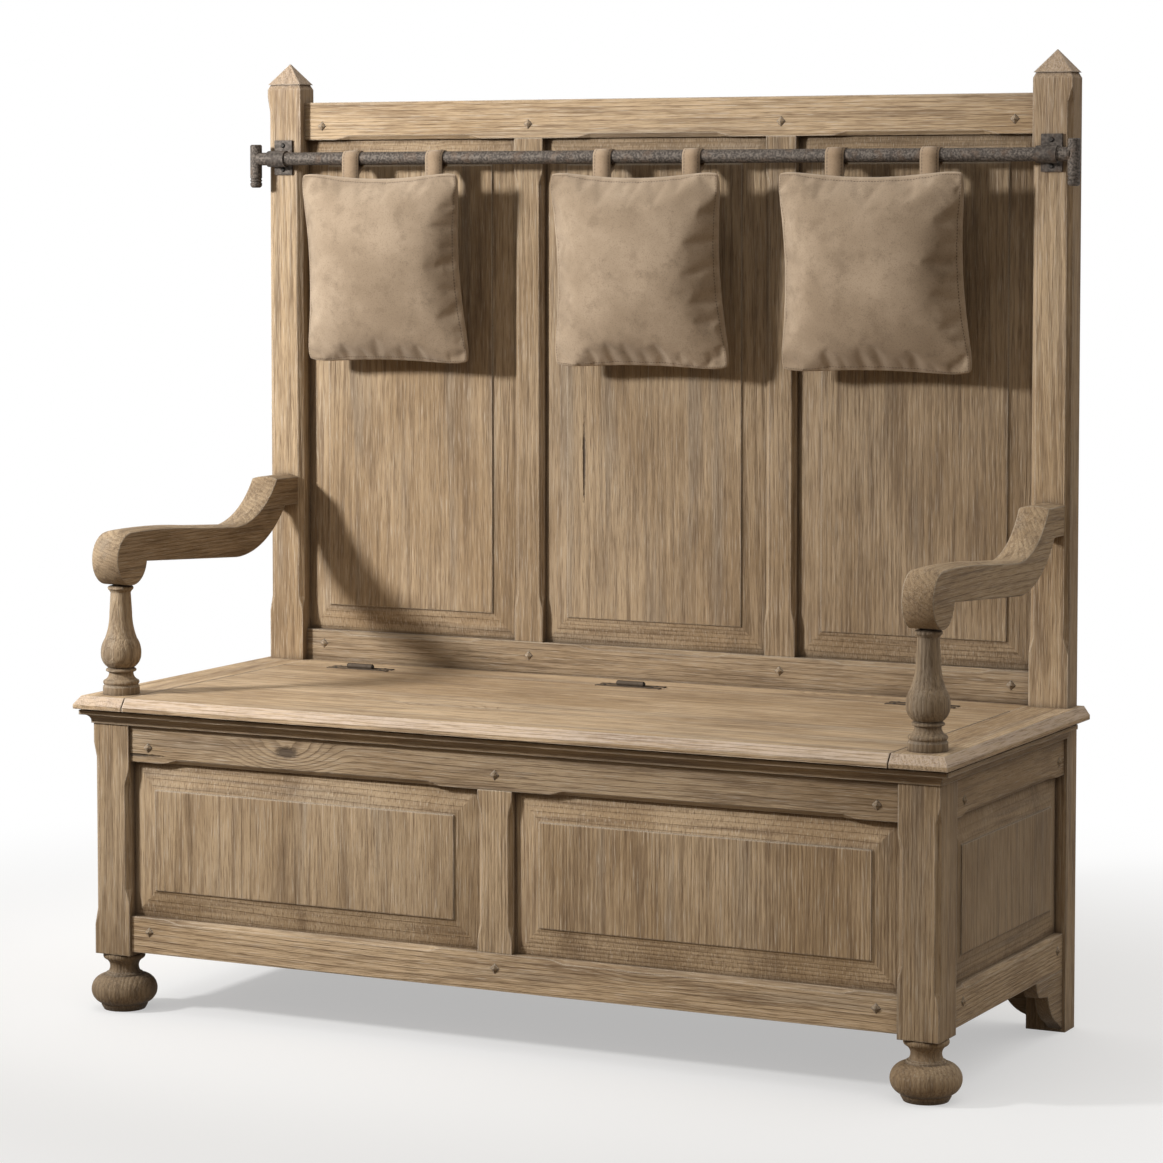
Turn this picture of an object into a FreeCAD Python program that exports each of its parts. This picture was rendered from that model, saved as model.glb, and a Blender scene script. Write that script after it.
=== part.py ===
import FreeCAD, Part
import math
import os

import Sketcher
from FreeCAD import Placement, Rotation, Vector

# Settle bench: a panelled chest seat on bun feet with a lifting lid, scrolled arms on turned
# balusters, a tall panelled back between two posts, and three cushions that hang by straps
# from an iron rod.
#
# Frame: X along the bench, +Y towards the back, +Z up. The origin is on the floor, in the
# middle of the bench's length and depth. All lengths are in mm.

doc = FreeCAD.newDocument("settle_bench")

# Driving dimensions: name in the sheet, value, meaning.
DRIVING = [
    ("seat_width", 1524, "overall length of the seat boards"),
    ("seat_depth", 626, "overall depth of the seat boards"),
    ("seat_top", 521, "floor to the top of the seat"),
    ("overall_height", 1566, "floor to the tips of the rear posts"),
    ("board", 21, "thickness of the seat boards"),
    ("edge_run", 10, "width of the sloping edge of the seat boards"),
    ("edge_drop", 14, "height of the sloping edge of the seat boards"),
    ("front_overhang", 28, "seat edge in front of the front stiles"),
    ("side_overhang", 22, "seat edge beyond the sides of the stiles and posts"),
    ("end_board", 93, "width of the fixed seat board at each end"),
    ("hinge_inboard", 111, "back of the bench to the hinge line"),
    ("stile_width", 67, "front stile, width seen from the front"),
    ("stile_depth", 68, "front stile, depth seen from the side"),
    ("stile_foot", 94, "floor to the underside of a front stile"),
    ("rail_lift", 7, "underside of the stiles to the underside of the bottom rails"),
    ("bottom_rail", 59, "height of the chest's bottom rails"),
    ("top_rail", 85, "height of the chest's top rails up to the seat boards"),
    ("rail_setback", 5, "chest rails behind the face of the stiles"),
    ("rail_thick", 28, "thickness of the chest's rails and muntin"),
    ("chest_muntin", 60, "width of the muntin between the front panels"),
    ("post_width", 66, "rear post, width seen from the front"),
    ("post_depth", 45, "rear post, depth seen from the side"),
    ("pyramid", 36.5, "height of the pyramid on a rear post"),
    ("post_band", 8.5, "height of the sloping band under the pyramid"),
    ("band_inset", 4, "inset of the band's top from the shaft"),
    ("pyramid_inset", 0.5, "inset of the pyramid's base from the shaft"),
    ("tip_width", 1, "width of the blunt tip of the pyramid"),
    ("back_setback", 15, "back rails behind the front face of the posts"),
    ("back_shoulder", 23, "top of the back's top rail below the posts' shoulders"),
    ("back_top_rail", 65, "height of the back's top rail"),
    ("back_low_rail", 85, "height of the back's lower rail"),
    ("back_rise", 54, "top of the seat to the top of the back's lower rail"),
    ("back_muntin", 54, "width of the muntins of the back"),
    ("tenon_thick", 10, "thickness of the tenons"),
    ("tenon_length", 20, "length of the rails' tenons"),
    ("tenon_shoulder", 10, "shoulder above and below a rail's tenon"),
    ("muntin_tenon", 35, "length of the muntins' tenons"),
    ("wood_fit", 0.2, "clearance of tenons, panels and dowels in their sockets"),
    ("lid_gap", 2.2, "gap at each end and at the back of the lid"),
    ("rest_gap", 0.3, "clearance between the lid and what it rests on"),
    ("bevel", 45, "width of the panels' bevelled border"),
    ("bevel_rise", 8, "rise of the bevel from the groove to the field"),
    ("field_step", 2, "upright step between the bevel and the field"),
    ("field_setback", 4, "panel fields behind the faces of their rails"),
    ("tongue", 6, "thickness of the panels' tongues"),
    ("tongue_depth", 7, "how far the tongues reach into the grooves"),
    ("groove_depth", 8, "depth of the panel grooves"),
    ("chamfer", 8, "width of the stopped chamfers on the posts and stiles"),
    ("rail_chamfer", 7, "width of the stopped chamfers on the rails and muntins"),
    ("chest_stop", 64, "ends of the chest's rails to the start of a chamfer"),
    ("upright_stop", 18, "panel openings of the chest to the uprights' chamfers"),
    ("back_stop", 62, "ends of the back's rails to the start of a chamfer"),
    ("stop_run", 26, "length of the slope at a chamfer's end"),
    ("cove_reveal", 3, "gap between the seat boards and the cove moulding"),
    ("cove_height", 22, "height of the cove moulding"),
    ("cove_out", 17.5, "projection of the cove moulding"),
    ("hinge_rail_height", 20, "height of the rail under the fixed seat strip"),
    ("floor_thick", 12, "thickness of the chest's floor"),
    ("floor_below", 20, "underside of the chest's floor below the panel openings"),
    ("back_board", 10, "thickness of the plain panel behind the chest"),
    ("batten_width", 45, "width of a batten under the lid"),
    ("batten_thick", 18, "thickness of a batten under the lid"),
    ("batten_inset", 27, "batten's end to the inside of the chest"),
    ("batten_from_end", 217, "end of the lid to the middle of an outer batten"),
    ("foot_ball", 54, "largest radius of a bun foot"),
    ("foot_base", 34, "radius of a bun foot on the floor"),
    ("foot_roll", 24, "radius of the rounding of a bun foot's ball"),
    ("foot_neck", 24, "radius of a bun foot's neck"),
    ("dowel", 10, "radius of the feet's, balusters' and arms' dowels"),
    ("dowel_length", 22, "length of the feet's and arms' dowels"),
    ("baluster_base", 30, "radius of a baluster's base"),
    ("baluster_swell", 33, "largest radius of a baluster"),
    ("baluster_neck", 16.5, "radius of a baluster's upper neck"),
    ("baluster_back", 2, "middle of a baluster behind the middle of the scroll"),
    ("collar_gap", 0.6, "collar of a baluster to the underside of the arm"),
    ("scroll_radius", 43, "radius of the scroll at the front of an arm"),
    ("scroll_from_front", 58, "front edge of the seat to the middle of the scroll"),
    ("scroll_above_seat", 222.5, "top of the seat to the middle of the scroll"),
    ("arm_width", 50, "width of an arm"),
    ("arm_crown", 4.5, "rise of an arm's rounded top above its side faces"),
    ("arm_rise", 100.5, "middle of the scroll to the top of the arm at the post"),
    ("arm_thick", 47, "height of the arm at the post"),
    ("arm_flat", 71, "length of the level stretch of the arm at the post"),
    ("peg_side", 12, "side of a peg's square head"),
    ("peg_head", 5, "height of a peg's pyramid head"),
    ("peg_radius", 3.4, "radius of a peg's shank"),
    ("peg_length", 22, "length of a peg's shank"),
    ("peg_inset", 35, "inner edge of a stile or post to the pegs beside it"),
    ("peg_from_opening", 24, "panel openings to the pegs above and below them"),
    ("side_peg_front", 42, "front stile to the nearest peg of the chest's side"),
    ("side_peg_rear", 24, "rear post to the nearest peg of the chest's side"),
    ("hinge_from_end", 148, "end of the lid to the middle of an outer hinge"),
    ("leaf_length", 118, "length of a hinge leaf"),
    ("leaf_depth", 15, "hinge line to the far edge of a leaf"),
    ("leaf_thick", 1.6, "thickness of a hinge leaf"),
    ("knuckle_radius", 4.5, "outer radius of the hinge knuckles"),
    ("knuckle_length", 9.4, "length of one hinge knuckle"),
    ("knuckle_gap", 0.25, "gap between two hinge knuckles"),
    ("hinge_pin", 2, "radius of a hinge pin"),
    ("pin_fit", 0.05, "running clearance of pins and of the rod"),
    ("leaf_screw", 44, "middle of a hinge to its screws"),
    ("leaf_screw_radius", 1.6, "radius of a hinge screw's shank"),
    ("leaf_screw_head", 3.2, "radius of a hinge screw's head"),
    ("leaf_screw_length", 14, "length of a hinge screw"),
    ("rod_radius", 11.2, "radius of the iron rod"),
    ("rod_below_rail", 33, "underside of the top rail to the axis of the rod"),
    ("rod_standoff", 22, "axis of the rod in front of the posts"),
    ("cross_bar", 10.3, "radius of the upright bar on each end of the rod"),
    ("cross_gap", 0.7, "outer face of a post to the upright bar beside it"),
    ("cross_above", 25, "upright bar above the rod's axis"),
    ("cross_below", 50, "upright bar below the rod's axis"),
    ("sleeve_radius", 14, "outer radius of a bracket's sleeve"),
    ("plate_width", 35, "width of a bracket's plate"),
    ("plate_height", 60, "height of a bracket's plate"),
    ("plate_thick", 4, "thickness of a bracket's plate"),
    ("plate_rise", 2.6, "middle of the plate above the rod's axis"),
    ("plate_screw", 20.8, "middle of the plate to its screws"),
    ("screw_radius", 2, "radius of a bracket screw's shank"),
    ("screw_head", 4.5, "radius of a bracket screw's head"),
    ("screw_length", 20, "length of a bracket screw in the post"),
    ("cushion_side", 326, "side of a cushion between its corners"),
    ("cushion_thick", 92, "thickness of a cushion"),
    ("cushion_draw", 8, "how far a cushion's sides pull in between its corners"),
    ("cushion_drop", 190, "axis of the rod down to the middle of a cushion"),
    ("cushion_forward", 31, "axis of the rod forward to the middle of a cushion"),
    ("cushion_lean", 5.5, "lean of a cushion in degrees, its top to the front"),
    ("left_drift", -8, "left cushion to the right of the middle of its bay"),
    ("centre_drift", 4, "centre cushion to the right of the middle of its bay"),
    ("right_drift", -41, "right cushion to the right of the middle of its bay"),
    ("strap_width", 32, "width of a strap"),
    ("strap_thick", 2, "thickness of a strap"),
    ("strap_spread", 82, "middle of a strap pair to a strap"),
    ("strap_shift", 6, "middle of a strap pair to the right of its cushion's"),
    ("strap_join", 28, "axis of the rod down to where a strap's two runs meet"),
    ("strap_gap", 0.4, "clearance of a strap round the rod and at its cushion"),
]


class Size:
    """A length in mm together with the sheet expression that it is worked out from."""

    def __init__(self, text, value):
        self.text = text
        self.value = value

    def __add__(self, other):
        return combine(self, "+", other)

    def __radd__(self, other):
        return combine(other, "+", self)

    def __sub__(self, other):
        return combine(self, "-", other)

    def __rsub__(self, other):
        return combine(other, "-", self)

    def __mul__(self, other):
        return combine(self, "*", other)

    __rmul__ = __mul__

    def __truediv__(self, other):
        return combine(self, "/", other)

    def __neg__(self):
        return combine(-1, "*", self)


OPERATIONS = {
    "+": lambda a, b: a + b,
    "-": lambda a, b: a - b,
    "*": lambda a, b: a * b,
    "/": lambda a, b: a / b,
}


def as_size(length):
    """A plain number as a Size."""
    if isinstance(length, Size):
        return length
    return Size("(%g)" % length, float(length))


def combine(a, sign, b):
    """The sum, difference, product or quotient of two lengths, as a Size."""
    a = as_size(a)
    b = as_size(b)
    return Size("(%s %s %s)" % (a.text, sign, b.text), OPERATIONS[sign](a.value, b.value))


def mm(length):
    """The value of a length in mm."""
    return as_size(length).value


class Sheet:
    """The driving dimensions, each a Size under its own name."""


sheet = doc.addObject("Spreadsheet::Sheet", "Sizes")
d = Sheet()
for row, (alias, number, meaning) in enumerate(DRIVING, 1):
    sheet.set("A%d" % row, meaning)
    sheet.set("B%d" % row, str(number))
    sheet.setAlias("B%d" % row, alias)
    setattr(d, alias, Size("Sizes." + alias, float(number)))
doc.recompute()


# Tools for bodies, sketches and features

def bind(thing, name, length):
    """Binds one property of an object to the sheet."""
    thing.setExpression(name, as_size(length).text)


def new_body(label):
    """An empty body for one sub-part."""
    body = doc.addObject("PartDesign::Body", label)
    body.Label = label
    body.AllowCompound = True
    return body


def origin_plane(body, role):
    """One of the body's own origin planes."""
    for feature in body.Origin.OriginFeatures:
        if feature.Role == role:
            return feature
    raise ValueError(role)


def new_sketch(body, name, plane, base, turn=None):
    """An empty sketch on the plane XY, XZ or YZ, moved by base in the plane's own directions."""
    sketch = body.newObject("Sketcher::SketchObject", name + "_sketch")
    sketch.AttachmentSupport = [(origin_plane(body, plane + "_Plane"), "")]
    sketch.MapMode = "FlatFace"
    rotation = turn if turn else Rotation()
    sketch.AttachmentOffset = Placement(Vector(*[mm(b) for b in base]), rotation)
    for axis, length in zip("xyz", base):
        bind(sketch, "AttachmentOffset.Base." + axis, length)
    return sketch


def level_base(plane, level):
    """The offset that puts a sketch at a level of the axis its plane is square to."""
    return (0, 0, -level if plane == "XZ" else level)


def fix_number(sketch, kind, place, length):
    """Adds a constraint with a value that follows the sheet."""
    index = sketch.addConstraint(Sketcher.Constraint(kind, *place, mm(length)))
    bind(sketch, "Constraints[%d]" % index, length)


def add_loop(sketch, loop):
    """A closed outline of corners (u, v) and (u, v, radius). The radius is that of the arc
    from the corner to the next one: positive where the arc bulges to the right of the way
    round, negative where it is hollow."""
    corners = [Vector(mm(corner[0]), mm(corner[1]), 0) for corner in loop]
    starts = []
    ends = []
    for i, corner in enumerate(loop):
        a = corners[i]
        b = corners[(i + 1) % len(loop)]
        if len(corner) == 2:
            index = sketch.addGeometry(Part.LineSegment(a, b), False)
            starts.append((index, 1))
            ends.append((index, 2))
            continue
        radius = mm(corner[2])
        chord = b - a
        left = Vector(-chord.y, chord.x, 0).normalize()
        rise = math.sqrt(max(radius ** 2 - chord.Length ** 2 / 4, 0))
        centre = (a + b) * 0.5 + left * math.copysign(rise, radius)
        first, last = (a, b) if radius > 0 else (b, a)
        angle_first = math.atan2(first.y - centre.y, first.x - centre.x)
        angle_last = math.atan2(last.y - centre.y, last.x - centre.x)
        if angle_last < angle_first:
            angle_last += 2 * math.pi
        circle = Part.Circle(centre, Vector(0, 0, 1), abs(radius))
        index = sketch.addGeometry(Part.ArcOfCircle(circle, angle_first, angle_last), False)
        starts.append((index, 1 if radius > 0 else 2))
        ends.append((index, 2 if radius > 0 else 1))
    for i in range(len(loop)):
        following = starts[(i + 1) % len(loop)]
        sketch.addConstraint(Sketcher.Constraint("Coincident", *ends[i], *following))
    for corner, start in zip(loop, starts):
        fix_number(sketch, "DistanceX", start, corner[0])
        fix_number(sketch, "DistanceY", start, corner[1])
        if len(corner) == 3:
            radius = corner[2] if mm(corner[2]) > 0 else -1 * corner[2]
            fix_number(sketch, "Radius", (start[0],), radius)


def add_circles(sketch, centres, radius):
    """Circles of one radius about the given centres."""
    for u, v in centres:
        circle = Part.Circle(Vector(mm(u), mm(v), 0), Vector(0, 0, 1), mm(radius))
        index = sketch.addGeometry(circle, False)
        fix_number(sketch, "DistanceX", (index, 3), u)
        fix_number(sketch, "DistanceY", (index, 3), v)
        fix_number(sketch, "Radius", (index,), radius)


def push(body, name, plane, sketch, low, high, cut):
    """Pads or pockets a sketch that lies at low, up to high on the plane's axis."""
    feature = body.newObject("PartDesign::Pocket" if cut else "PartDesign::Pad", name)
    feature.Profile = sketch
    bind(feature, "Length", high - low)
    feature.Reversed = (plane == "XZ") != cut
    return feature


def extrude(body, name, plane, loops, low, high, cut=False):
    """A pad or pocket of closed outlines between two levels of the plane's axis."""
    sketch = new_sketch(body, name, plane, level_base(plane, low))
    for loop in loops:
        add_loop(sketch, loop)
    return push(body, name, plane, sketch, low, high, cut)


def round_holes(body, name, plane, centres, radius, low, high, cut=True):
    """Round holes, or round pins, of one radius between two levels of the plane's axis."""
    sketch = new_sketch(body, name, plane, level_base(plane, low))
    add_circles(sketch, centres, radius)
    return push(body, name, plane, sketch, low, high, cut)


def rectangle(u, v):
    """The outline of a rectangle from its two ranges."""
    return [(u[0], v[0]), (u[1], v[0]), (u[1], v[1]), (u[0], v[1])]


def block(body, name, x, y, z, cut=False):
    """A rectangular block, or a rectangular hole, from its three ranges."""
    return extrude(body, name, "XY", [rectangle(x, y)], z[0], z[1], cut)


def socket(body, name, x, y, z):
    """The mortise or groove for a tenon or tongue of these ranges, with its clearance."""
    ranges = [(r[0] - d.wood_fit, r[1] + d.wood_fit) for r in (x, y, z)]
    return block(body, name, *ranges, cut=True)


def on_side(side, near, far):
    """A range of X on the left (-1) or right (+1), from its distances to the middle."""
    return (near, far) if side > 0 else (-far, -near)


def loft_between(body, name, plane, first, first_level, last, last_level):
    """A straight-sided solid between two outlines at two levels."""
    base = new_sketch(body, name + "_base", plane, level_base(plane, first_level))
    add_loop(base, first)
    top = new_sketch(body, name + "_top", plane, level_base(plane, last_level))
    add_loop(top, last)
    loft = body.newObject("PartDesign::AdditiveLoft", name)
    loft.Profile = base
    loft.Sections = [top]
    loft.Ruled = True
    return loft


def turned(body, name, x, y, loop):
    """A turned solid about the upright axis at x, y. The outline is (radius, height)."""
    sketch = new_sketch(body, name, "XZ", (x, 0, -y))
    add_loop(sketch, loop)
    feature = body.newObject("PartDesign::Revolution", name)
    feature.Profile = sketch
    feature.ReferenceAxis = (sketch, ["V_Axis"])
    feature.Angle = 360
    return feature


# Directions of a chamfered edge: the sketch plane, the axis it turns about and the angle
# that points its second direction out of the edge. The edge runs along the first letter.
EDGE_TURNS = {
    "X_front_under": ("XZ", Vector(1, 0, 0), 135),
    "X_front_upper": ("XZ", Vector(1, 0, 0), 45),
    "Y_right_under": ("YZ", Vector(1, 0, 0), 135),
    "Y_left_under": ("YZ", Vector(1, 0, 0), -135),
    "Y_right_upper": ("YZ", Vector(1, 0, 0), 45),
    "Y_left_upper": ("YZ", Vector(1, 0, 0), -45),
    "Z_front_right": ("XZ", Vector(0, 1, 0), -45),
    "Z_front_left": ("XZ", Vector(0, 1, 0), -135),
}


def stopped_chamfer(body, name, edge, x, y, z, start, end, width):
    """A chamfer between start and end of an edge, with a slope at each end."""
    plane, axis, angle = EDGE_TURNS[edge]
    base = (x, z, -y) if plane == "XZ" else (y, z, x)
    sketch = new_sketch(body, name, plane, base, Rotation(axis, angle))
    depth = width * 0.7071
    stations = [
        (start, depth),
        (start, 0),
        (start + d.stop_run, -depth),
        (end - d.stop_run, -depth),
        (end, 0),
        (end, depth),
    ]
    if edge[0] == "Z":
        stations = [(out, along) for along, out in stations]
    add_loop(sketch, stations)
    feature = body.newObject("PartDesign::Pocket", name)
    feature.Profile = sketch
    bind(feature, "Length", width * 4)
    feature.SideType = "Symmetric"
    return feature


def feature_of(label, shape, placement=None):
    """A sub-part whose shape is made directly, then placed."""
    thing = doc.addObject("Part::Feature", label)
    thing.Label = label
    thing.Shape = shape
    thing.Placement = placement if placement else Placement()
    return thing


# Levels that several pieces share

half_seat = d.seat_width / 2
seat_front = -d.seat_depth / 2
seat_back = d.seat_depth / 2
board_under = d.seat_top - d.board
carcass_top = board_under - d.rest_gap
half_base = half_seat - d.side_overhang
stile_front = seat_front + d.front_overhang
stile_back = stile_front + d.stile_depth
stile_inner = half_base - d.stile_width
post_front = seat_back - d.post_depth
post_inner = half_base - d.post_width
post_middle = half_base - d.post_width / 2
rail_front = stile_front + d.rail_setback
rail_back = rail_front + d.rail_thick
side_outer = half_base - d.rail_setback
side_inner = side_outer - d.rail_thick
back_front = post_front + d.back_setback
back_mid = (back_front + seat_back) / 2
front_mid = (rail_front + rail_back) / 2
side_mid = (side_outer + side_inner) / 2
chest_back_front = seat_back - d.rail_thick
chest_back_mid = (chest_back_front + seat_back) / 2
hinge_y = seat_back - d.hinge_inboard

rail_bottom = d.stile_foot + d.rail_lift
panel_bottom = rail_bottom + d.bottom_rail
panel_top = board_under - d.top_rail
cove_top = board_under - d.cove_reveal
cove_bottom = cove_top - d.cove_height
shaft_top = d.overall_height - d.pyramid - d.post_band
back_top = shaft_top - d.back_shoulder
back_panel_top = back_top - d.back_top_rail
back_panel_bottom = d.seat_top + d.back_rise
back_rail_foot = back_panel_bottom - d.back_low_rail
rod_y = post_front - d.rod_standoff
rod_z = back_panel_top - d.rod_below_rail
scroll_y = seat_front + d.scroll_from_front
scroll_z = d.seat_top + d.scroll_above_seat
baluster_y = scroll_y + d.baluster_back
arm_top = scroll_z + d.arm_rise
arm_under = arm_top - d.arm_thick
scroll_under = scroll_z - d.scroll_radius

half_tenon = d.tenon_thick / 2
front_tenon = (front_mid - half_tenon, front_mid + half_tenon)
back_tenon = (back_mid - half_tenon, back_mid + half_tenon)
chest_back_tenon = (chest_back_mid - half_tenon, chest_back_mid + half_tenon)
top_tenon_z = (panel_top + d.tenon_shoulder, carcass_top - d.tenon_shoulder * 2)
bottom_tenon_z = (rail_bottom + d.tenon_shoulder, panel_bottom - d.tenon_shoulder)
back_top_tenon_z = (back_panel_top + d.tenon_shoulder, back_top - d.tenon_shoulder)
back_low_tenon_z = (back_rail_foot + d.tenon_shoulder, back_panel_bottom - d.tenon_shoulder)

bay_width = (post_inner * 2 - d.back_muntin * 2) / 3
muntin_centre = (bay_width + d.back_muntin) / 2
bay_pitch = bay_width + d.back_muntin


def panel_levels(face, out):
    """Levels of a raised panel behind a frame's face: field, top of bevel, groove face, back."""
    field = face - out * d.field_setback
    step = field - out * d.field_step
    edge = step - out * d.bevel_rise
    back = edge - out * d.tongue
    return field, step, edge, back


def in_order(a, b):
    """Two lengths as a range."""
    return (a, b) if mm(a) < mm(b) else (b, a)


def panel_groove(face, out):
    """The range across a frame's thickness that a raised panel's tongue takes."""
    field, step, edge, back = panel_levels(face, out)
    return in_order(edge, back)


front_groove = panel_groove(rail_front, -1)
back_groove = panel_groove(back_front, -1)


def raised_panel(label, plane, u, v, face, out):
    """A raised and fielded panel for the opening u by v of a frame with the given face."""
    field, step, edge, back = panel_levels(face, out)
    body = new_body(label)
    reach = [(r[0] - d.tongue_depth, r[1] + d.tongue_depth) for r in (u, v)]
    inner = [(r[0] + d.bevel, r[1] - d.bevel) for r in (u, v)]
    extrude(body, label + "_tongue", plane, [rectangle(*reach)], *in_order(edge, back))
    loft_between(body, label + "_bevel", plane, rectangle(u, v), edge, rectangle(*inner), step)
    extrude(body, label + "_field", plane, [rectangle(*inner)], *in_order(step, field))
    return body


# Front of the chest

chest_peg_x = (-(stile_inner - d.peg_inset), 0, stile_inner - d.peg_inset)
chest_peg_z = (panel_bottom - d.peg_from_opening, panel_top + d.peg_from_opening)
peg_hole = d.peg_radius + d.wood_fit / 2


def front_stile(side, word):
    """A front corner stile with its mortises, panel grooves and the hole for its foot."""
    label = "front_stile_" + word
    body = new_body(label)
    x = on_side(side, stile_inner, half_base)
    block(body, label + "_blank", x, (stile_front, stile_back), (d.stile_foot, carcass_top))
    front_x = on_side(side, stile_inner, stile_inner + d.tenon_length)
    side_x = on_side(side, side_mid - half_tenon, side_mid + half_tenon)
    side_y = (stile_back - d.tenon_length, stile_back)
    for place, z in (("top", top_tenon_z), ("bottom", bottom_tenon_z)):
        socket(body, label + "_front_mortise_" + place, front_x, front_tenon, z)
        socket(body, label + "_side_mortise_" + place, side_x, side_y, z)
    panel_z = (panel_bottom - d.groove_depth, panel_top + d.groove_depth)
    groove_x = on_side(side, stile_inner, stile_inner + d.groove_depth)
    socket(body, label + "_front_groove", groove_x, front_groove, panel_z)
    side_groove_x = in_order(*[side * level for level in panel_groove(side_outer, 1)])
    groove_y = (stile_back - d.groove_depth, stile_back)
    socket(body, label + "_side_groove", side_groove_x, groove_y, panel_z)
    centre = (side * (stile_inner + half_base) / 2, (stile_front + stile_back) / 2)
    round_holes(body, label + "_foot_hole", "XY", [centre], d.dowel + d.wood_fit / 2,
                d.stile_foot, d.stile_foot + d.dowel_length + 1)
    for edge, edge_x in (("Z_front_left", x[0]), ("Z_front_right", x[1])):
        outer = (edge == "Z_front_right") == (side > 0)
        start = panel_bottom + d.upright_stop * (-1 if outer else 1)
        end = panel_top + d.upright_stop * (1.6 if outer else -0.7)
        stopped_chamfer(body, label + edge, edge, edge_x, stile_front, 0, start, end, d.chamfer)


def front_rail(label, z, tenon_z, muntin_z, panel_edge, into, chamfer_edge, peg_z):
    """A rail of the chest's front with its tenons, groove, muntin mortise and peg holes.
    into is the way the groove runs from the panel's edge: 1 upwards, -1 downwards."""
    body = new_body(label)
    x = (-stile_inner, stile_inner)
    block(body, label + "_blank", x, (rail_front, rail_back), z)
    reach = stile_inner + d.tenon_length
    block(body, label + "_tenons", (-reach, reach), front_tenon, tenon_z)
    groove_z = in_order(panel_edge, panel_edge + into * d.groove_depth)
    socket(body, label + "_groove", x, front_groove, groove_z)
    half = d.chest_muntin / 2 - d.tenon_shoulder
    socket(body, label + "_mortise", (-half, half), front_tenon, muntin_z)
    holes = [(peg_x, peg_z) for peg_x in chest_peg_x]
    round_holes(body, label + "_peg_holes", "XZ", holes, peg_hole,
                rail_front, rail_front + d.peg_length + 1)
    half_gap = d.chest_muntin / 2
    bays = ((-stile_inner, -half_gap), (half_gap, stile_inner))
    for number, (low, high) in enumerate(bays):
        stopped_chamfer(body, "%s_chamfer_%d" % (label, number), chamfer_edge, 0, rail_front,
                        panel_edge, low + d.chest_stop, high - d.chest_stop, d.rail_chamfer)
    return body


def front_muntin():
    """The upright between the two front panels."""
    label = "front_muntin"
    body = new_body(label)
    half = d.chest_muntin / 2
    z = (panel_bottom, panel_top)
    block(body, label + "_blank", (-half, half), (rail_front, rail_back), z)
    inner = half - d.tenon_shoulder
    tenon_z = (z[0] - d.muntin_tenon, z[1] + d.muntin_tenon)
    block(body, label + "_tenons", (-inner, inner), front_tenon, tenon_z)
    socket(body, label + "_groove_left", (-half, -half + d.groove_depth), front_groove, z)
    socket(body, label + "_groove_right", (half - d.groove_depth, half), front_groove, z)
    holes = [(0, peg_z) for peg_z in chest_peg_z]
    round_holes(body, label + "_peg_holes", "XZ", holes, peg_hole,
                rail_front, rail_front + d.peg_length + 1)
    start = z[0] + d.upright_stop
    end = z[1] - d.upright_stop * 0.7
    for edge, edge_x in (("Z_front_left", -half), ("Z_front_right", half)):
        stopped_chamfer(body, label + edge, edge, edge_x, rail_front, 0, start, end,
                        d.rail_chamfer)


for side, word in ((-1, "left"), (1, "right")):
    front_stile(side, word)

top_rail = front_rail("front_top_rail", (panel_top, carcass_top), top_tenon_z,
                      (panel_top, panel_top + d.muntin_tenon), panel_top, 1,
                      "X_front_under", chest_peg_z[1])
block(top_rail, "front_top_rail_band", (-stile_inner, stile_inner),
      (stile_front, rail_front), (cove_bottom, carcass_top))
bottom_rail = front_rail("front_bottom_rail", (rail_bottom, panel_bottom), bottom_tenon_z,
                         (panel_bottom - d.muntin_tenon, panel_bottom), panel_bottom, -1,
                         "X_front_upper", chest_peg_z[0])
floor_z = (panel_bottom - d.floor_below, panel_bottom - d.floor_below + d.floor_thick)
socket(bottom_rail, "front_bottom_rail_floor_groove", (-stile_inner, stile_inner),
       (rail_back - d.tongue_depth, rail_back), floor_z)
front_muntin()

panel_z = (panel_bottom, panel_top)
for side, word in ((-1, "left"), (1, "right")):
    bay = on_side(side, d.chest_muntin / 2, stile_inner)
    raised_panel("front_panel_" + word, "XZ", bay, panel_z, rail_front, -1)


# Sides of the chest

side_peg_y = (stile_back + d.side_peg_front, post_front - d.side_peg_rear)


def side_rail(label, side, z, tenon_z, panel_edge, into, edge, peg_z):
    """A side rail between the front stile and the rear post. into is the way the groove
    runs from the panel's edge: 1 upwards, -1 downwards."""
    body = new_body(label)
    y = (stile_back, post_front)
    block(body, label + "_blank", on_side(side, side_inner, side_outer), y, z)
    tenon_x = on_side(side, side_mid - half_tenon, side_mid + half_tenon)
    tenon_y = (stile_back - d.tenon_length, post_front + d.tenon_length)
    block(body, label + "_tenons", tenon_x, tenon_y, tenon_z)
    groove_x = in_order(*[side * level for level in panel_groove(side_outer, 1)])
    socket(body, label + "_groove", groove_x, y,
           in_order(panel_edge, panel_edge + into * d.groove_depth))
    hole_x = on_side(side, side_outer - d.peg_length - 1, side_outer)
    round_holes(body, label + "_peg_holes", "YZ", [(peg_y, peg_z) for peg_y in side_peg_y],
                peg_hole, *hole_x)
    stopped_chamfer(body, label + "_chamfer", edge, side * side_outer, 0, panel_edge,
                    y[0] + d.chest_stop / 2, y[1] - d.chest_stop / 2, d.rail_chamfer)
    return body


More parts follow.
